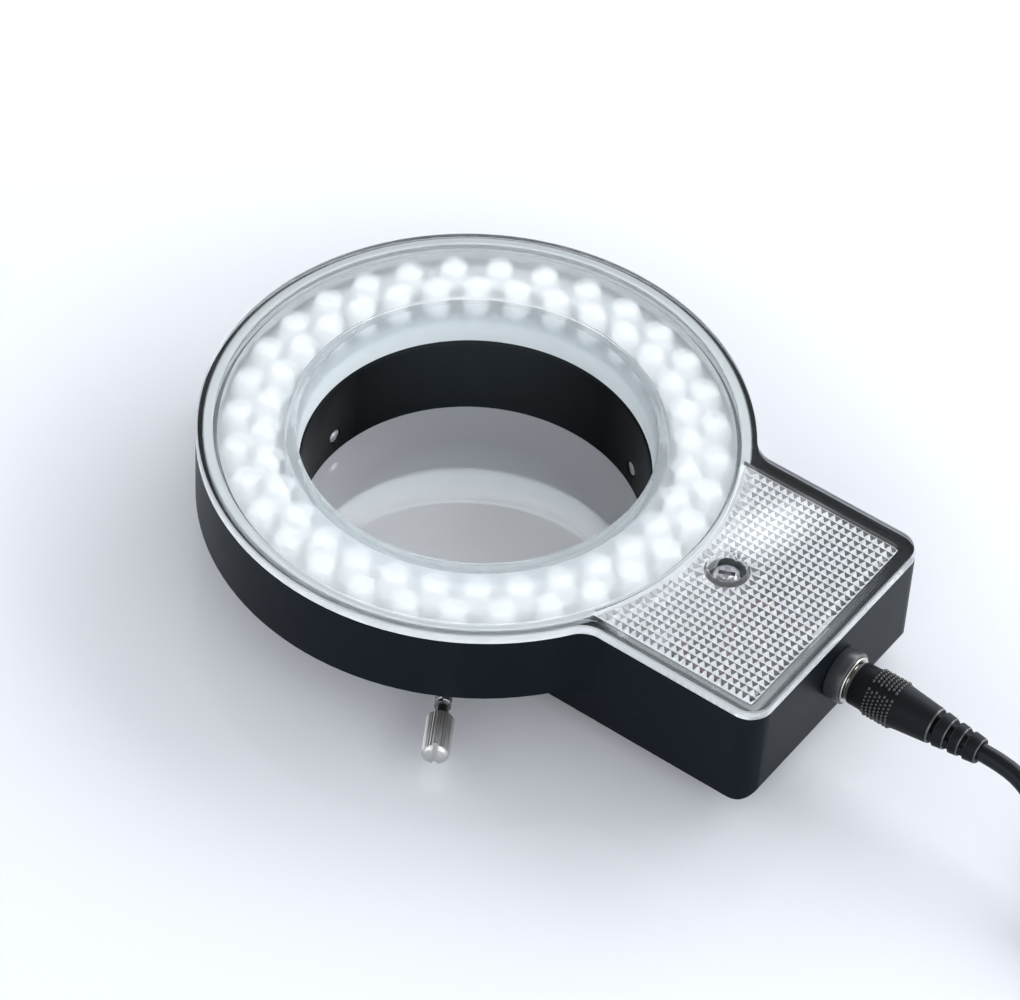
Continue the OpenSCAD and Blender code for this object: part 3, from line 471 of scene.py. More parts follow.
# chain of edges made by turning one point about an upright axis
def arc(bm, centre, radius, start, end, steps, z):
    x, y = centre
    first = bm.verts.new((x + radius * cos(start), y + radius * sin(start), z))
    made = bmesh.ops.spin(bm, geom=[first], cent=(x, y, z), axis=(0, 0, 1), angle=end - start,
                          steps=steps)
    last = [v for v in made["geom_last"] if isinstance(v, bmesh.types.BMVert)][0]
    return first, last


# closed loop of arcs (centre, radius, start, end, steps) in mm, with straight edges between them
def joinArcs(bm, arcs, z):
    before, oldVerts = set(bm.edges), set(bm.verts)
    ends = [arc(bm, (x * mm, y * mm), r * mm, a, b, n, z * mm) for (x, y), r, a, b, n in arcs]
    for k, (first, last) in enumerate(ends):
        following = ends[(k + 1) % len(ends)][0]
        if (last.co - following.co).length > 1e-7:
            bm.edges.new((last, following))
    bmesh.ops.remove_doubles(bm, verts=[v for v in bm.verts if v not in oldVerts], dist=1e-7)
    return fresh(bm, before)


def circleLoop(bm, x, y, radius, z, steps):
    before = set(bm.edges)
    bmesh.ops.create_circle(bm, segments=steps, radius=radius * mm,
                            matrix=Matrix.Translation((x * mm, y * mm, z * mm)))
    return fresh(bm, before)


def fill(bm, edges, finish=0):
    made = bmesh.ops.triangle_fill(bm, use_beauty=True, edges=list(edges), normal=(0, 0, 1))
    return paint([f for f in made["geom"] if isinstance(f, bmesh.types.BMFace)], finish)


def bridge(bm, one, two, finish=0):
    flat = abs(one[0].verts[0].co.z - two[0].verts[0].co.z) < 1e-7
    if flat:  # a flat ring is filled, since a bridge may twist there
        return fill(bm, list(one) + list(two), finish)
    return paint(bmesh.ops.bridge_loops(bm, edges=list(one) + list(two))["faces"], finish)


# turned shape: points (radius, along) in mm, turned about the line through base along the direction
def turned(bm, points, base, direction, steps):
    side = Vector((0, 0, 1)) if abs(direction[2]) < 0.9 else Vector((1, 0, 0))
    start = [bm.verts.new((Vector(base) + Vector(direction) * a + side * r) * mm) for r, a in points]
    chain = [bm.edges.new(pair) for pair in zip(start, start[1:])]
    bmesh.ops.spin(bm, geom=start + chain, cent=Vector(base) * mm, axis=direction, angle=tau,
                   steps=steps, use_merge=True)


def breakEdges(bm, edges, width, segments):
    bmesh.ops.bevel(bm, geom=edges, offset=width * mm, offset_type="OFFSET", segments=segments, profile=0.5,
                    affect="EDGES", clamp_overlap=True, material=-1)


# copy of a CAD solid with its sharp edges broken
def softened(node, width, segments, sharp=28):
    bm = bmesh.new()
    bm.from_mesh(cad[node].data)
    paint(bm.faces, 0)
    bmesh.ops.remove_doubles(bm, verts=bm.verts, dist=2e-6)
    bmesh.ops.dissolve_limit(bm, angle_limit=radians(0.5), verts=bm.verts, edges=bm.edges)
    edges = [e for e in bm.edges if len(e.link_faces) == 2 and e.calc_face_angle(0) > radians(sharp)]
    breakEdges(bm, edges, width, segments)
    return bm


def softPiece(name, node, width, segments, finish, body, weighted=False):
    return sit(name, softened(node, width, segments), [finish], body, node, 30, weighted)


# power cord: straight out of the plug, down to the table, into a tied coil and on to the adapter
cordSize = {"start": (107.3, 0, 16.5), "diameter": 3.4, "lead": 1.2, "drop": 41, "turn": 5.7, "swing": 37,
            "side": -17.75, "coil": (160, 12), "inner": 10.25, "step": 3.9, "turns": 5, "low": 2.6,
            "tail": 28.6, "flat": 1.7, "end": (192, -17.75, 13), "inside": 8,
            "runSteps": 30, "coilStep": 7.5, "tailSteps": 14}


def ease(t):
    t = min(max(t, 0), 1)
    return t * t * (3 - 2 * t)


# the coil winds in on its lower layer and out again on its upper one
def coilPoint(size, angle):
    middle = size["turns"] * 360
    reach = size["inner"] + size["step"] * abs(angle - middle) / 360
    climb = min(max((angle - middle + 90) / 180, 0), 1)
    lift = size["low"] + size["step"] * (1 - cos(pi * climb)) / 2
    return Vector((size["coil"][0] + reach * sin(radians(angle)),
                   size["coil"][1] - reach * cos(radians(angle)), lift))


def cordRoute(size):
    start = Vector(size["start"])
    ahead = Vector((size["diameter"], 0, 0))
    run = coilPoint(size, 0).x - size["diameter"] - start.x - 2 * size["lead"] - size["diameter"] / 2
    route = [start]
    for k in range(size["runSteps"] + 1):
        d = size["lead"] + k * run / size["runSteps"]
        route.append(Vector((start.x + d, size["side"] * ease((d - size["turn"]) / size["swing"]),
                             start.z + (size["low"] - start.z) * ease((d - size["lead"]) / size["drop"]))))
    route.append(coilPoint(size, 0) - ahead)
    whole = 720 * size["turns"]
    route += [coilPoint(size, size["coilStep"] * k) for k in range(int(whole / size["coilStep"]) + 1)]
    leave = coilPoint(size, whole) + ahead
    route.append(leave)
    for k in range(size["tailSteps"] + 1):
        t = k / size["tailSteps"]
        route.append(Vector((leave.x + size["flat"] + t * (size["tail"] - 2 * size["flat"]), size["side"],
                             leave.z + ease(t) * (size["end"][2] - leave.z))))
    route += [Vector(size["end"]), Vector(size["end"]) + Vector((size["inside"], 0, 0))]  # on into the relief
    return [p * mm for p in route]


def strand(name, route, diameter, finish, body, nodes, kind="POLY"):
    line = bpy.data.curves.new(name, "CURVE")
    line.dimensions, line.bevel_depth, line.bevel_resolution = "3D", diameter * mm / 2, 5
    line.use_fill_caps = True
    spline = line.splines.new(kind)
    spline.points.add(len(route) - 1)
    for point, spot in zip(spline.points, route):
        point.co = (*spot, 1)
    if kind == "NURBS":
        spline.order_u, spline.use_endpoint_u, spline.resolution_u = 4, True, 6
    spline.use_smooth = True
    line.materials.append(finish)
    return enrol(linked(name, line), body, nodes)


route = cordRoute(cordSize)
cordLength = sum((b - a).length for a, b in zip(route, route[1:]))
powerCord = strand("powerCord", route, cordSize["diameter"], cordBlack, "power_lead",
                   ("cord_run", "cord_coil", "cord_tail"))
print("cord: %.3f m in %d points" % (cordLength, len(route)))


# plug: turned grip with dotted pads, and a relief of rings on bars
plugSize = {"x": 81.7, "z": 16.5, "edge": (0.4, 0.97), "edgeFrom": 3.0, "around": 72,
            "grip": [(0, 0), (3.3, 0), (3.75, 0.15), (4.0, 0.6), (4.03, 2.8), (4.14, 3.6), (4.16, 4.4),
                     (4.16, 8.6), (4.1, 9.4), (3.95, 10.6), (3.36, 16.2), (3.2, 16.5), (0, 16.5)],
            "pads": (17, 107, 197, 287), "padHalf": 34, "dotFrom": 4.0, "dotRows": 7, "dotPitch": 0.78,
            "dotTurn": 9.7, "dotR": 0.36, "dotTop": 4.52}
reliefSize = {"x": 98.2, "core": 2.1, "coreSpan": (-0.2, 8.6), "inside": 1.2, "round": 0.18,
              "rings": [(0.75, 2.95, 3.24, 3.0), (3.85, 5.75, 2.93, 2.76), (6.65, 9.1, 2.68, 2.42)],
              "lip": (0.17, 0.2), "bars": (-7, 83, 173, 263), "barFrom": -0.1, "barWide": 1.5, "barTall": 1.2,
              "barSunk": 0.72, "barSpare": 0.4, "edge": (0.28, 0.97), "edgeFrom": 2.2, "around": (48, 64)}


# painted highlight: narrow turned faces between a side and an end take a lighter finish standing for their
# bright edge lines
def paintEdgeHighlights(bm, size):
    steep, flat = size["edge"]
    for face in bm.faces:
        middle = face.calc_center_median()
        wide = hypot(middle.y, middle.z - plugSize["z"] * mm)
        if steep < abs(face.normal.x) < flat and wide > size["edgeFrom"] * mm:
            face.material_index = 1


def makeGrip(size):
    bm = bmesh.new()
    turned(bm, size["grip"], (size["x"], 0, size["z"]), (1, 0, 0), size["around"])
    outward(bm)
    paintEdgeHighlights(bm, size)
    count = int(2 * size["padHalf"] / size["dotTurn"])
    upright = Matrix.Rotation(radians(90), 4, "X")
    rise = Matrix.Translation((0, 0, (size["dotTop"] - size["dotR"]) * mm))
    for pad in size["pads"]:
        for row in range(size["dotRows"]):
            odd = row % 2
            along = size["x"] + size["dotFrom"] + row * size["dotPitch"]
            spot = Matrix.Translation(Vector((along, 0, size["z"])) * mm)
            for k in range(count + 1 - odd):
                angle = pad - size["padHalf"] + (k + 0.5 * odd) * size["dotTurn"]
                tilt = Matrix.Rotation(radians(-angle), 4, "X") @ upright
                dot = bmesh.ops.create_icosphere(bm, subdivisions=2, radius=size["dotR"] * mm,
                                                 matrix=spot @ tilt @ rise)
                paint({f for v in dot["verts"] for f in v.link_faces}, 2)
    return sit("plugGrip", bm, [plugBlack, plugEdgeHighlight, plugDot], "power_lead", "plug_grip", 40)


def makeRelief(size):
    bm = bmesh.new()
    base, core, inside, edge = (size["x"], 0, plugSize["z"]), size["core"], size["inside"], size["round"]
    (first, last), (lipDeep, lipLong) = size["coreSpan"], size["lip"]
    coreSteps, ringSteps = size["around"]
    turned(bm, [(0, first), (core, first), (core, last), (0, last)], base, (1, 0, 0), coreSteps)
    behind = size["barFrom"]
    for low, high, big, small in size["rings"]:
        ring = [(inside, low), (big - edge, low), (big, low + edge), (small, high - lipLong),
                (small - lipDeep, high), (inside, high), (inside, low)]
        turned(bm, ring, base, (1, 0, 0), ringSteps)
        spot = Matrix.Translation(Vector((size["x"] + (low + behind) / 2, 0, plugSize["z"])) * mm)
        bar = Matrix.Translation((0, 0, (big - size["barSunk"]) * mm)) @ Matrix.Diagonal(
            ((low - behind + size["barSpare"]) * mm, size["barWide"] * mm, size["barTall"] * mm, 1))
        for angle in size["bars"]:
            turn = Matrix.Rotation(radians(angle), 4, "X")
            bmesh.ops.create_cube(bm, size=1, matrix=spot @ turn @ bar)
        behind = high
    outward(bm)
    paintEdgeHighlights(bm, size)
    return sit("plugRelief", bm, [plugBlack, plugEdgeHighlight], "power_lead", "plug_relief", 40)


plugGrip = makeGrip(plugSize)
plugRelief = makeRelief(reliefSize)
print("plug: grip and relief")


# adapter at the far end, with a ribbed relief that widens towards it
adapterSize = {"x": 204, "y": -17.75, "z": 13, "relief": 12, "ribs": 4, "tip": (1.95, 2.2), "round": 0.25,
               "first": 0.9, "spare": 1.6, "grow": 0.26, "groove": 0.42, "lip": 0.14, "collar": (3.3, 0.3),
               "rib": (0.25, 0.5, 0.62), "around": 48}


def makeAdapterRelief(size):
    bm = bmesh.new()
    (small, tip), (collar, collarLong), end = size["tip"], size["collar"], size["relief"]
    profile = [(0, 0), (small, 0), (tip, size["round"])]
    step = (end - size["spare"]) / size["ribs"]
    for k in range(size["ribs"]):
        a = size["first"] + k * step
        r = tip + size["grow"] * (k + 0.5)
        deep = r - size["groove"]
        down, up, crest = [a + share * step for share in size["rib"]]
        profile += [(r, a), (deep, down), (deep, up), (r + size["lip"], crest)]
    profile += [(collar, end - collarLong), (collar, end), (0, end)]
    turned(bm, profile, (size["x"] - end, size["y"], size["z"]), (1, 0, 0), size["around"])
    outward(bm)
    return sit("adapterRelief", bm, [plugBlack], "power_lead", "adapter_relief", 45)


adapterRelief = makeAdapterRelief(adapterSize)
adapterCase = softPiece("adapterCase", "adapter_case", 0.7, 3, adapterBlack, "power_lead",
                        True)
adapterLid = softPiece("adapterLid", "adapter_lid", 0.45, 3, adapterBlack, "power_lead",
                       True)
adapterBlades = softPiece("adapterBlades", "adapter_blades", 0.22, 2, nickel, "power_lead", True)
print("adapter: case, lid, blades and relief")


# ties round the coil
tieSize = {"low": 7.35, "high": 32.65, "tall": 9.1, "wide": 8, "thick": 0.8, "corner": 1.6, "steps": 6,
           "edge": 0.14, "edgeAngle": 60}


def makeTies(size, middle):
    bm = bmesh.new()
    c, low, high, tall = size["corner"], size["low"], size["high"], size["tall"]
    box = [((high - c, c), -90), ((high - c, tall - c), 0), ((low + c, tall - c), 90), ((low + c, c), 180)]
    place = Matrix.Translation((middle[0] * mm, (middle[1] + size["wide"] / 2) * mm, 0))
    for side in (-1, 1):
        loops = []
        for inset in (0, size["thick"]):
            corners = [(at, c - inset, radians(a), radians(a + 90), size["steps"]) for at, a in box]
            loops.append(joinArcs(bm, corners, 0))
        strap = bridge(bm, *loops)
        raised = bmesh.ops.extrude_face_region(bm, geom=strap)["geom"]
        top = [v for v in raised if isinstance(v, bmesh.types.BMVert)]
        bmesh.ops.translate(bm, verts=top, vec=(0, 0, size["wide"] * mm))
        mine = set(top) | {v for f in strap for v in f.verts}
        bmesh.ops.transform(bm, verts=list(mine), matrix=place @ Matrix.Scale(side, 4, (1, 0, 0))
                            @ Matrix.Rotation(radians(90), 4, "X"))
    outward(bm)
    sharp = [e for e in bm.edges if e.calc_face_angle(0) > radians(size["edgeAngle"])]
    breakEdges(bm, sharp, size["edge"], 2)
    return sit("cordTies", bm, [strapGrey], "power_lead", "cord_ties", 40)


cordTies = makeTies(tieSize, cordSize["coil"])
print("ties: two straps")


# plan of the ring and its block, as a loop of edges
planSize = {"ring": 50, "endX": 77.9, "half": 26.2, "corner": 4.5, "least": 0.2, "fillet": 5,
            "filletAt": (45.2888, 31.2), "ringSteps": 176, "cornerSteps": 12}
quarter = pi / 2


def planLoop(bm, size, inset, z):
    fx, fy = size["filletAt"]
    turn = atan2(fy, fx)
    corner = max(size["corner"] - inset, size["least"])
    far = size["corner"] if size["corner"] > inset else inset + corner
    cx, cy = size["endX"] - far, size["half"] - far
    fillet, steps = size["fillet"] + inset, size["cornerSteps"]
    return joinArcs(bm, [((0, 0), size["ring"] - inset, turn, tau - turn, size["ringSteps"]),
                         ((fx, -fy), fillet, pi - turn, quarter, steps),
                         ((cx, -cy), corner, -quarter, 0, steps),
                         ((cx, cy), corner, 0, quarter, steps),
                         ((fx, fy), fillet, 3 * quarter, pi + turn, steps)], z)


# clear cover: plate, skirt, ribs, screw well and the prism panel under the block's top
coverSize = {"top": 26.9, "under": 25.03, "round": 0.4, "bulge": 0.29, "chamfer": 0.15, "zone": 46.9,
             "ribLow": 23, "ribOut": 2.95, "ringRib": (46.15, 47.05), "litRib": (46.6, 47.4),
             "skirt": [(34.25, 25.03), (34.25, 17.2), (34.0, 16.95), (31.9, 16.95), (31.66, 17.2),
                       (32.17, 26.0), (32.32, 26.45), (32.62, 26.75), (33.1, 26.9)],
             "mouthLow": 26.05, "panelHalf": 22.8, "panelEnd": 74.5, "panelCorner": 1.1, "panelArc": 47.6,
             "around": 144, "wellAround": 48, "arcSteps": 40, "cornerSteps": 5,
             "gridX": (43.5, 74.4), "gridY": (-22.7, 22.7), "columns": 21, "rows": 31, "gridArc": 47.9,
             "arcPull": 1.3, "prism": 1.05, "merge": 0.05, "shadeLean": 0.8, "farLean": 0.2,
             "boss": 4.15, "bossPull": 1.2, "bossEdge": 0.3, "wellAt": (53.8, 0),
             "well": [(3.75, 26.9), (3.55, 26.82), (3.45, 26.6), (3.45, 23.3), (1.6, 23.3), (1.6, 21.8),
                      (3.8, 21.8), (4.0, 22.0), (4.0, 25.03)]}
coverFinishes = {"edge": coverGlowEdge, "rim": coverRim, "milk": coverMilk, "frost": coverFrost,
                 "prism": coverPrism, "well": coverWell, "facet": coverPaintedLightFacet, "shade": coverPaintedShadeFacet,
                 "skirt": coverSkirt, "mouth": coverMouth, "far": coverFarShade}


def panelLoop(bm, size, reach, z):
    half, end, c = size["panelHalf"], size["panelEnd"], size["panelCorner"]
    swing = asin(half / reach)
    steps = size["cornerSteps"]
    return joinArcs(bm, [((0, 0), reach, swing, -swing, size["arcSteps"]),
                         ((end - c, c - half), c, -quarter, 0, steps),
                         ((end - c, half - c), c, 0, quarter, steps)], z)


def stack(bm, x, y, rings, steps, finish):
    loops = [circleLoop(bm, x, y, r, z, steps) for r, z in rings]
    for one, two in zip(loops, loops[1:]):
        bridge(bm, one, two, finish)
    return loops[0], loops[-1]


def makePrisms(bm, size):
    (x0, x1), (y0, y1) = size["gridX"], size["gridY"]
    oldFaces = set(bm.faces)
    middle = Matrix.Translation(((x0 + x1) / 2 * mm, (y0 + y1) / 2 * mm, size["under"] * mm))
    shape = middle @ Matrix.Diagonal(((x1 - x0) * mm, (y1 - y0) * mm, 1, 1))
    bmesh.ops.create_grid(bm, x_segments=size["columns"], y_segments=size["rows"], size=0.5, matrix=shape)
    well = Vector(size["wellAt"]) * mm
    reach, boss = size["gridArc"] * mm, size["boss"] * mm
    lost = []
    for cell in [f for f in bm.faces if f not in oldFaces]:
        middle = cell.calc_center_median()
        if middle.xy.length < reach or (middle.xy - well).length < boss:
            lost.append(cell)
    bmesh.ops.delete(bm, geom=lost, context="FACES")
    cells = [f for f in bm.faces if f not in oldFaces]
    border = {v for f in cells for v in f.verts if v.is_boundary}
    for v in border:  # the cut cells end on the ring's arc and round the well
        off = v.co.xy - well
        if off.length < boss + size["bossPull"] * mm:
            v.co.xy = well + off.normalized() * boss
        elif v.co.xy.length < reach + size["arcPull"] * mm and v.co.x < reach:
            v.co.x = sqrt(max(reach * reach - v.co.y * v.co.y, 0))
    bmesh.ops.remove_doubles(bm, verts=list({v for f in cells for v in f.verts}), dist=size["merge"] * mm)
    cells = [f for f in bm.faces if f not in oldFaces]
    rim = [e for f in cells for e in f.edges if e.is_boundary]
    near = boss + size["bossEdge"] * mm
    inner = [e for e in rim if all((v.co.xy - well).length < near for v in e.verts)]
    outer = [e for e in rim if e not in inner]
    return cells, outer, inner


def makeCover(size, plan, finishes):
    bm = bmesh.new()
    at = {word: k for k, word in enumerate(finishes)}
    top, under, rd, chamfer, around = [size[word] for word in ("top", "under", "round", "chamfer", "around")]
    # outside edge
    cut = rd * size["bulge"]
    rings = [(chamfer, under), (0, under + chamfer), (0, top - rd), (cut, top - cut), (rd, top)]
    loops = [planLoop(bm, plan, inset, z) for inset, z in rings]
    for one, two in zip(loops, loops[1:]):
        bridge(bm, one, two, at["edge"])
    # skirt and screw well
    skirtOut, mouth = stack(bm, 0, 0, size["skirt"], around, at["skirt"])
    for face in bm.faces:
        if face.material_index == at["skirt"] and face.calc_center_median().z > size["mouthLow"] * mm:
            face.material_index = at["mouth"]
    wellTop, wellUnder = stack(bm, *size["wellAt"], size["well"], size["wellAround"], at["well"])
    # top face in its three zones
    zone = circleLoop(bm, 0, 0, size["zone"], top, around)
    panelTop = panelLoop(bm, size, size["panelArc"], top)
    fill(bm, loops[-1] + zone + panelTop, at["rim"])
    bridge(bm, zone, mouth, at["milk"])
    fill(bm, panelTop + wellTop, at["prism"])
    # ribs under the plate
    ribs = []
    for z in (under, size["ribLow"]):
        ribs.append((planLoop(bm, plan, size["ribOut"], z),
                     circleLoop(bm, 0, 0, size["ringRib"][0], z, around),
                     panelLoop(bm, size, size["ringRib"][1], z)))
    for high, low in zip(*ribs):
        bridge(bm, high, low, at["rim"])
    litFrom, litTo = [r * mm for r in size["litRib"]]
    # painted light: rib faces near the ring take the pale glowing facet finish
    for face in bm.faces:  # light from the ring shows in the rib between ring and panel
        middle = face.calc_center_median()
        lit = middle.z < under * mm and litFrom < middle.xy.length < litTo
        if face.material_index == at["rim"] and lit:
            face.material_index = at["facet"]
    fill(bm, [e for loop in ribs[1] for e in loop], at["rim"])
    fill(bm, loops[0] + ribs[0][0], at["rim"])
    bridge(bm, ribs[0][1], skirtOut, at["frost"])
    # prism panel
    cells, outer, inner = makePrisms(bm, size)
    fill(bm, outer + ribs[0][2], at["facet"])
    fill(bm, inner + wellUnder, at["prism"])
    for cell in cells:
        cell.normal_update()
    poked = bmesh.ops.poke(bm, faces=cells, offset=-size["prism"] * mm, center_mode="MEAN")
    tips = set(poked["verts"])
    # painted light and shade: each prism's far-side facets take the darker finish, the others the pale
    # glowing one
    for facet in poked["faces"]:  # the facets on each prism's far side are darker
        tip = [v for v in facet.verts if v in tips][0]
        lean = sum((v.co - tip.co for v in facet.verts), Vector())
        facet.material_index = at["shade"] if lean.y > size["shadeLean"] * abs(lean.x) else at["facet"]
    outward(bm)
    # painted shade: far-facing edge faces take the greyer finish
    for face in bm.faces:  # the edge is greyer on the far side, where the LEDs' light doesn't reach out
        if face.material_index == at["edge"] and face.normal.y > size["farLean"] * (1 - face.normal.z):
            face.material_index = at["far"]
    print("cover: %d prisms, %d open edges" % (len(cells), sum(1 for e in bm.edges if not e.is_manifold)))
    return sit("coverPlate", bm, finishes.values(), "lamp", "cover", 30, True)


makeCover(coverSize, planSize, coverFinishes)


# housing, sleeve and other turned or moulded solids with broken edges
softPiece("housingShell", "housing", 0.35, 3, housingBlack, "lamp", True)
softPiece("sleeveRing", "sleeve", 0.18, 2, sleeveBlack, "lamp", True)


# screw in the cover: rounded pan head with a cross
coverScrewSize = {"head": 1.55, "level": 0.02, "ringAngle": 15, "round": 0.3,
                  "crossAngle": 50, "crossEdge": 0.08}


def makeCoverScrew(size, at):
    bm = softened("cover_screw", 0.001, 1, 170)  # only cleaned: no edge is that sharp
    centre, head, level = Vector(at) * mm, size["head"] * mm, size["level"] * mm
    wide = {v: (v.co.xy - centre).length for v in bm.verts}
    rings = []
    for edge in bm.edges:
        one, two = edge.verts
        even = abs(wide[one] - wide[two]) < level and abs(one.co.z - two.co.z) < level
        if even and wide[one] > head and edge.calc_face_angle(0) > radians(size["ringAngle"]):
            rings.append(edge)
    breakEdges(bm, rings, size["round"], 5)
    cross = [e for e in bm.edges if e.calc_face_angle(0) > radians(size["crossAngle"])
             and (e.verts[0].co.xy - centre).length < head]
    breakEdges(bm, cross, size["crossEdge"], 2)
    return sit("coverScrew", bm, [steelScrew], "lamp", "cover_screw", 40)


makeCoverScrew(coverScrewSize, coverSize["wellAt"])
softPiece("sleeveScrews", "sleeve_screws", 0.12, 2, screwBlack, "lamp")
softPiece("jackBody", "jack_body", 0.22, 3, jackBlack, "lamp")
softPiece("jackRing", "jack_ring", 0.12, 3, collarNickel, "lamp")
print("housing, sleeve and socket: edges broken")


# LEDs in two rows
ledSize = {"low": 16.2, "flange": 2.8, "flangeHigh": 17.2, "edge": 0.1, "shoulder": (0.12, 0.15),
           "draft": 0.02, "radius": 2.5, "dome": 22.2, "domeStep": 15, "around": 20, "count": 32,
           "rows": (("ledsInner", "leds_inner", 38.2, 2.8125), ("ledsOuter", "leds_outer", 43.4, 8.4375))}


def makeLeds(size, name, node, reach, first):
    bm = bmesh.new()
    r, d, low, wide, high = size["radius"], size["dome"], size["low"], size["flange"], size["flangeHigh"]
    edge, draft, (cutIn, cutDown) = size["edge"], size["draft"], size["shoulder"]
    profile = [(0, low), (wide - edge, low), (wide, low + edge), (wide, high - cutDown), (wide - cutIn, high),
               (r + draft, high + draft), (r, d)]
    for a in range(size["domeStep"], 91, size["domeStep"]):
        profile.append((r * cos(radians(a)), d + r * sin(radians(a))))
    turned(bm, profile, (reach, 0, 0), (0, 0, 1), size["around"])
    outward(bm, 1e-6)
    bmesh.ops.spin(bm, geom=bm.verts[:] + bm.edges[:] + bm.faces[:], cent=(0, 0, 0), axis=(0, 0, 1),
                   angle=tau, steps=size["count"], use_duplicate=True, use_merge=True)
    bmesh.ops.remove_doubles(bm, verts=bm.verts, dist=1e-6)
    bmesh.ops.rotate(bm, verts=bm.verts, cent=(0, 0, 0), matrix=Matrix.Rotation(radians(first), 3, "Z"))
    return sit(name, bm, [ledWhite], "lamp", node, 40)


for row in ledSize["rows"]:
    makeLeds(ledSize, *row)
print("leds: two rows of %d" % ledSize["count"])


# clamp screws: knurled head from the solid, rolled thread on the shank
clampSize = {"screws": ((60, 2.3), (180, 2.3), (300, 0)), "z": 4.3, "from": 34.53, "neck": 46.5,
             "head": 49.0, "crest": 1.49, "root": 1.22, "pitch": 0.5, "steps": 20, "flank": (0.8, 1.2),
             "lead": 0.1, "spare": 0.7, "bite": 0.05, "merge": 0.004, "core": 1.24, "tip": (1.0, 0.25),
             "sunk": 0.02, "around": 32, "endLean": 0.5}


def makeClamp(size, k, angle, turnedIn):
    node = "thumbscrew_%d" % k
    bm = softened(node, 0.05, 1, 20)
    turn = Matrix.Rotation(radians(angle), 4, "Z")
    bmesh.ops.transform(bm, verts=bm.verts, matrix=turn.inverted())
    begin, neck, z = size["from"] - turnedIn, size["neck"] - turnedIn, size["z"]
    bmesh.ops.bisect_plane(bm, geom=bm.verts[:] + bm.edges[:] + bm.faces[:], dist=1e-7,
                           plane_co=((neck - size["bite"]) * mm, 0, 0), plane_no=(1, 0, 0),
                           clear_inner=True)
    bmesh.ops.holes_fill(bm, edges=[e for e in bm.edges if e.is_boundary], sides=0)
    old = set(bm.verts)
    length, pitch, root, crest = neck - begin, size["pitch"], size["root"], size["crest"]
    turns = int((length - size["spare"]) / pitch)
    rise, fall = [pitch / 2 * share for share in size["flank"]]
    tooth = [(root, 0), (crest, rise), (crest, fall), (root, pitch)]
    start = [bm.verts.new(((begin + size["lead"] + a) * mm, 0, (z + r) * mm)) for r, a in tooth]
    chain = [bm.edges.new(pair) for pair in zip(start, start[1:])]
    bmesh.ops.spin(bm, geom=start + chain, cent=(0, 0, z * mm), axis=(1, 0, 0), angle=tau * turns,
                   steps=turns * size["steps"], dvec=(pitch / size["steps"] * mm, 0, 0))
    bmesh.ops.remove_doubles(bm, verts=[v for v in bm.verts if v not in old], dist=size["merge"] * mm)
    end, core, (tip, slope) = length + size["sunk"], size["core"], size["tip"]
    profile = [(0, 0), (tip, 0), (core, slope), (core, end), (0, end)]
    turned(bm, profile, (begin, 0, z), (1, 0, 0), size["around"])
    outward(bm)
    for face in bm.faces:
        if face.calc_center_median().x < (size["head"] - turnedIn) * mm:
            face.material_index = 1
        elif face.normal.x > size["endLean"]:
            face.material_index = 2
    bmesh.ops.transform(bm, verts=bm.verts, matrix=turn)
    return sit("thumbscrew%d" % k, bm, [knurlNickel, shankSteel, endNickel], "screw_%d" % k, node,
               32)


for k, (angle, turnedIn) in enumerate(clampSize["screws"], 1):
    makeClamp(clampSize, k, angle, turnedIn)
    softPiece("clampPad%d" % k, "clamp_pad_%d" % k, 0.12, 2, steelScrew, "pad_%d" % k)
print("clamp screws: three, threaded")


# wires in the block
wireSize = {"tag": 60.5, "tagY": 1.8, "jackZ": 16.5, "side": 21.6, "board": 11.0, "thick": 1.4}


def wireRoutes(size):
    t, y, z, s, b = size["tag"], size["tagY"], size["jackZ"], size["side"], size["board"]
    red = [(t, -y, z), (t - 1, -y, z), (t - 2, -y - 1.4, z + 0.9), (t - 2, -0.3 * s, z + 2.6),
           (t + 0.2, -0.52 * s, z + 3.7), (t + 3.2, -0.75 * s, z + 2.7), (t + 4.4, -0.91 * s, z + 1.3),
           (t + 3, -0.985 * s, z + 0.6), (t - 0.5, -s, z), (t - 4.5, -0.965 * s, z - 1.1),
           (t - 6.8, -0.87 * s, z - 2.6), (t - 7.3, -0.8 * s, z - 3.8), (t - 7.3, -0.8 * s, b + 0.7),
           (t - 7.3, -0.8 * s, b)]
    black = [(t, y, z), (t - 1, y, z), (t - 1.9, y + 0.8, z - 0.4), (t - 2.6, 0.27 * s, z - 1.7),
             (t - 3.4, 0.39 * s, z - 3.4), (t - 3.7, 0.46 * s, b + 1.4), (t - 3.7, 0.46 * s, b)]
    return [Vector(p) * mm for p in red], [Vector(p) * mm for p in black]


redRoute, blackRoute = wireRoutes(wireSize)
strand("leadRed", redRoute, wireSize["thick"], wireRed, "lamp", ("lead_red",), "NURBS")
strand("leadBlack", blackRoute, wireSize["thick"], wireBlack, "lamp", ("lead_black",), "NURBS")
print("wires: red and black lead")


# CAD solids that keep their shape and take a finish
keptSolids = {"led_board": boardWhite, "reflector": reflectorWhite, "driver_board": boardGreen,
              "board_screws": steelScrew, "driver_chip": chipBlack, "driver_choke": ferrite,
              "smoothing_capacitor": capacitorSleeve, "ballast_resistors": chipBlack, "led_leads": wireRed,
              "jack_nut": nickel, "jack_contact": brass, "jack_pin": nickel, "jack_tags": brass,
              "plug_barrel": nickel, "plug_insulator": insulatorYellow, "adapter_board": boardGreen,
              "adapter_transformer": ferrite}
for node, finish in keptSolids.items():
    for slotOf in cad[node].material_slots:
        slotOf.material = finish
print("kept solids: %d with finishes" % len(keptSolids))


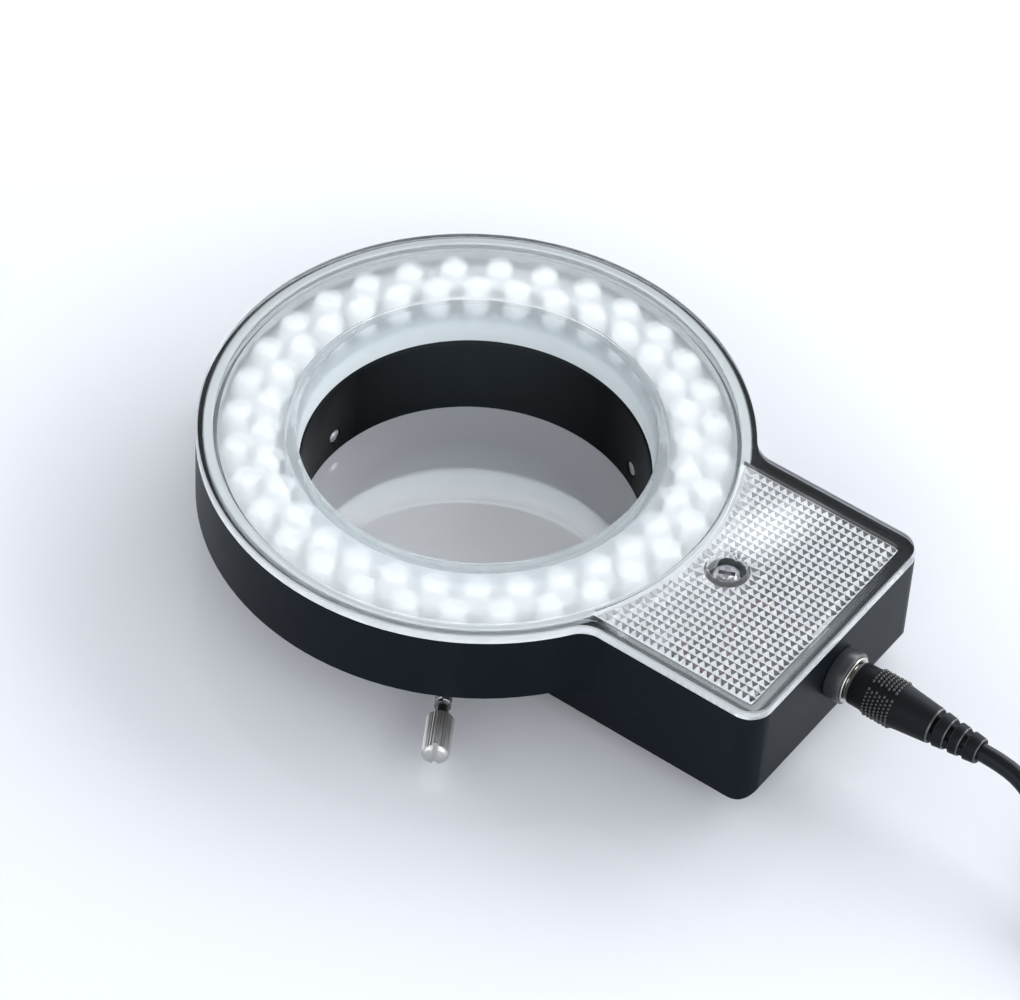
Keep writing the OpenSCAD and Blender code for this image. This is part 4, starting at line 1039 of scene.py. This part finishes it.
# pale floor, polished under the opening
floorSize = {"half": 6.0, "at": (0.1, 0, -0.00002)}
floorLook = {"dark": shade(0.64, 0.66, 0.70), "light": shade(0.655, 0.675, 0.71), "polish": (23, 31)}


def floorFinish(name, look):
    f = Finish(name)
    cloud = f.noise(3, 2)
    polish = f.fade(f.reach(), look["polish"], (1, 0))
    return f.done({"Base Color": f.blend(cloud, look["dark"], look["light"]),
                   "Roughness": 0.08 + 0.01 * cloud, "IOR": 1.5, "Coat Weight": polish,
                   "Coat IOR": 3.0, "Coat Roughness": 0.05})


def makeFloor(size, look):
    bm = bmesh.new()
    bmesh.ops.create_grid(bm, x_segments=4, y_segments=4, size=size["half"],
                          matrix=Matrix.Translation(size["at"]))
    mesh = bpy.data.meshes.new("floor")
    bm.to_mesh(mesh)
    bm.free()
    mesh.materials.append(floorFinish("floorPale", look))
    linked("floor", mesh)


# room light: bright low down, more so on the right and a little less in front, dim overhead, with a soft
# lobe behind the part
roomLook = {"front": (0.1, -0.995, 0), "right": (0.958, 0.287, 0), "behind": (-0.381, 0.574, 0.725),
            "band": [(0.0, 2.15), (0.45, 2.85), (0.60, 3.0), (0.66, 0.95), (0.72, 0.44), (1.0, 0.32)],
            "frontFade": (0.1, 0.6, 1, 0.95), "rightFade": (-0.31, -0.08, 0.77, 1.17), "lobe": (42, 14),
            "lobeLight": 0.1, "tint": shade(0.975, 0.99, 1.02)}


def roomLight(name, look):
    f = Finish(name, "World")
    way = f.node("TexCoord", out="Generated")
    up = f.node("SeparateXYZ", {}, {0: way}, "Z")
    front, right, behind = [f.dot(way, look[side]) for side in ("front", "right", "behind")]
    wide, core = [cos(radians(a)) for a in look["lobe"]]
    lobe = f.slide(behind, wide, core, 0, look["lobeLight"])
    band = f.ramp(up, look["band"]) * f.slide(front, *look["frontFade"])
    level = (band + lobe) * f.slide(right, *look["rightFade"])
    return f.wear(f.node("Background", {}, {"Color": look["tint"], "Strength": level}))


backLook = {"spot": (0.30, 0.70, 0.50), "aim": (0.10, 0.10, 0), "wide": (0.9, 0.5), "power": 5.0}


def softLight(name, look):
    lamp = bpy.data.lights.new(name, "AREA")
    lamp.shape, lamp.energy = "RECTANGLE", look["power"]
    lamp.size, lamp.size_y = look["wide"]
    holder = linked(name, lamp)
    holder.location = look["spot"]
    holder.rotation_euler = (Vector(look["aim"]) - Vector(look["spot"])).to_track_quat("-Z", "Y").to_euler()


makeFloor(floorSize, floorLook)
bpy.context.scene.world = roomLight("room", roomLook)
softLight("backLight", backLook)
view = bpy.context.scene.view_settings
view.view_transform, view.look, view.exposure, view.gamma = "Standard", "None", 0, 1
print("stage: floor and lights")
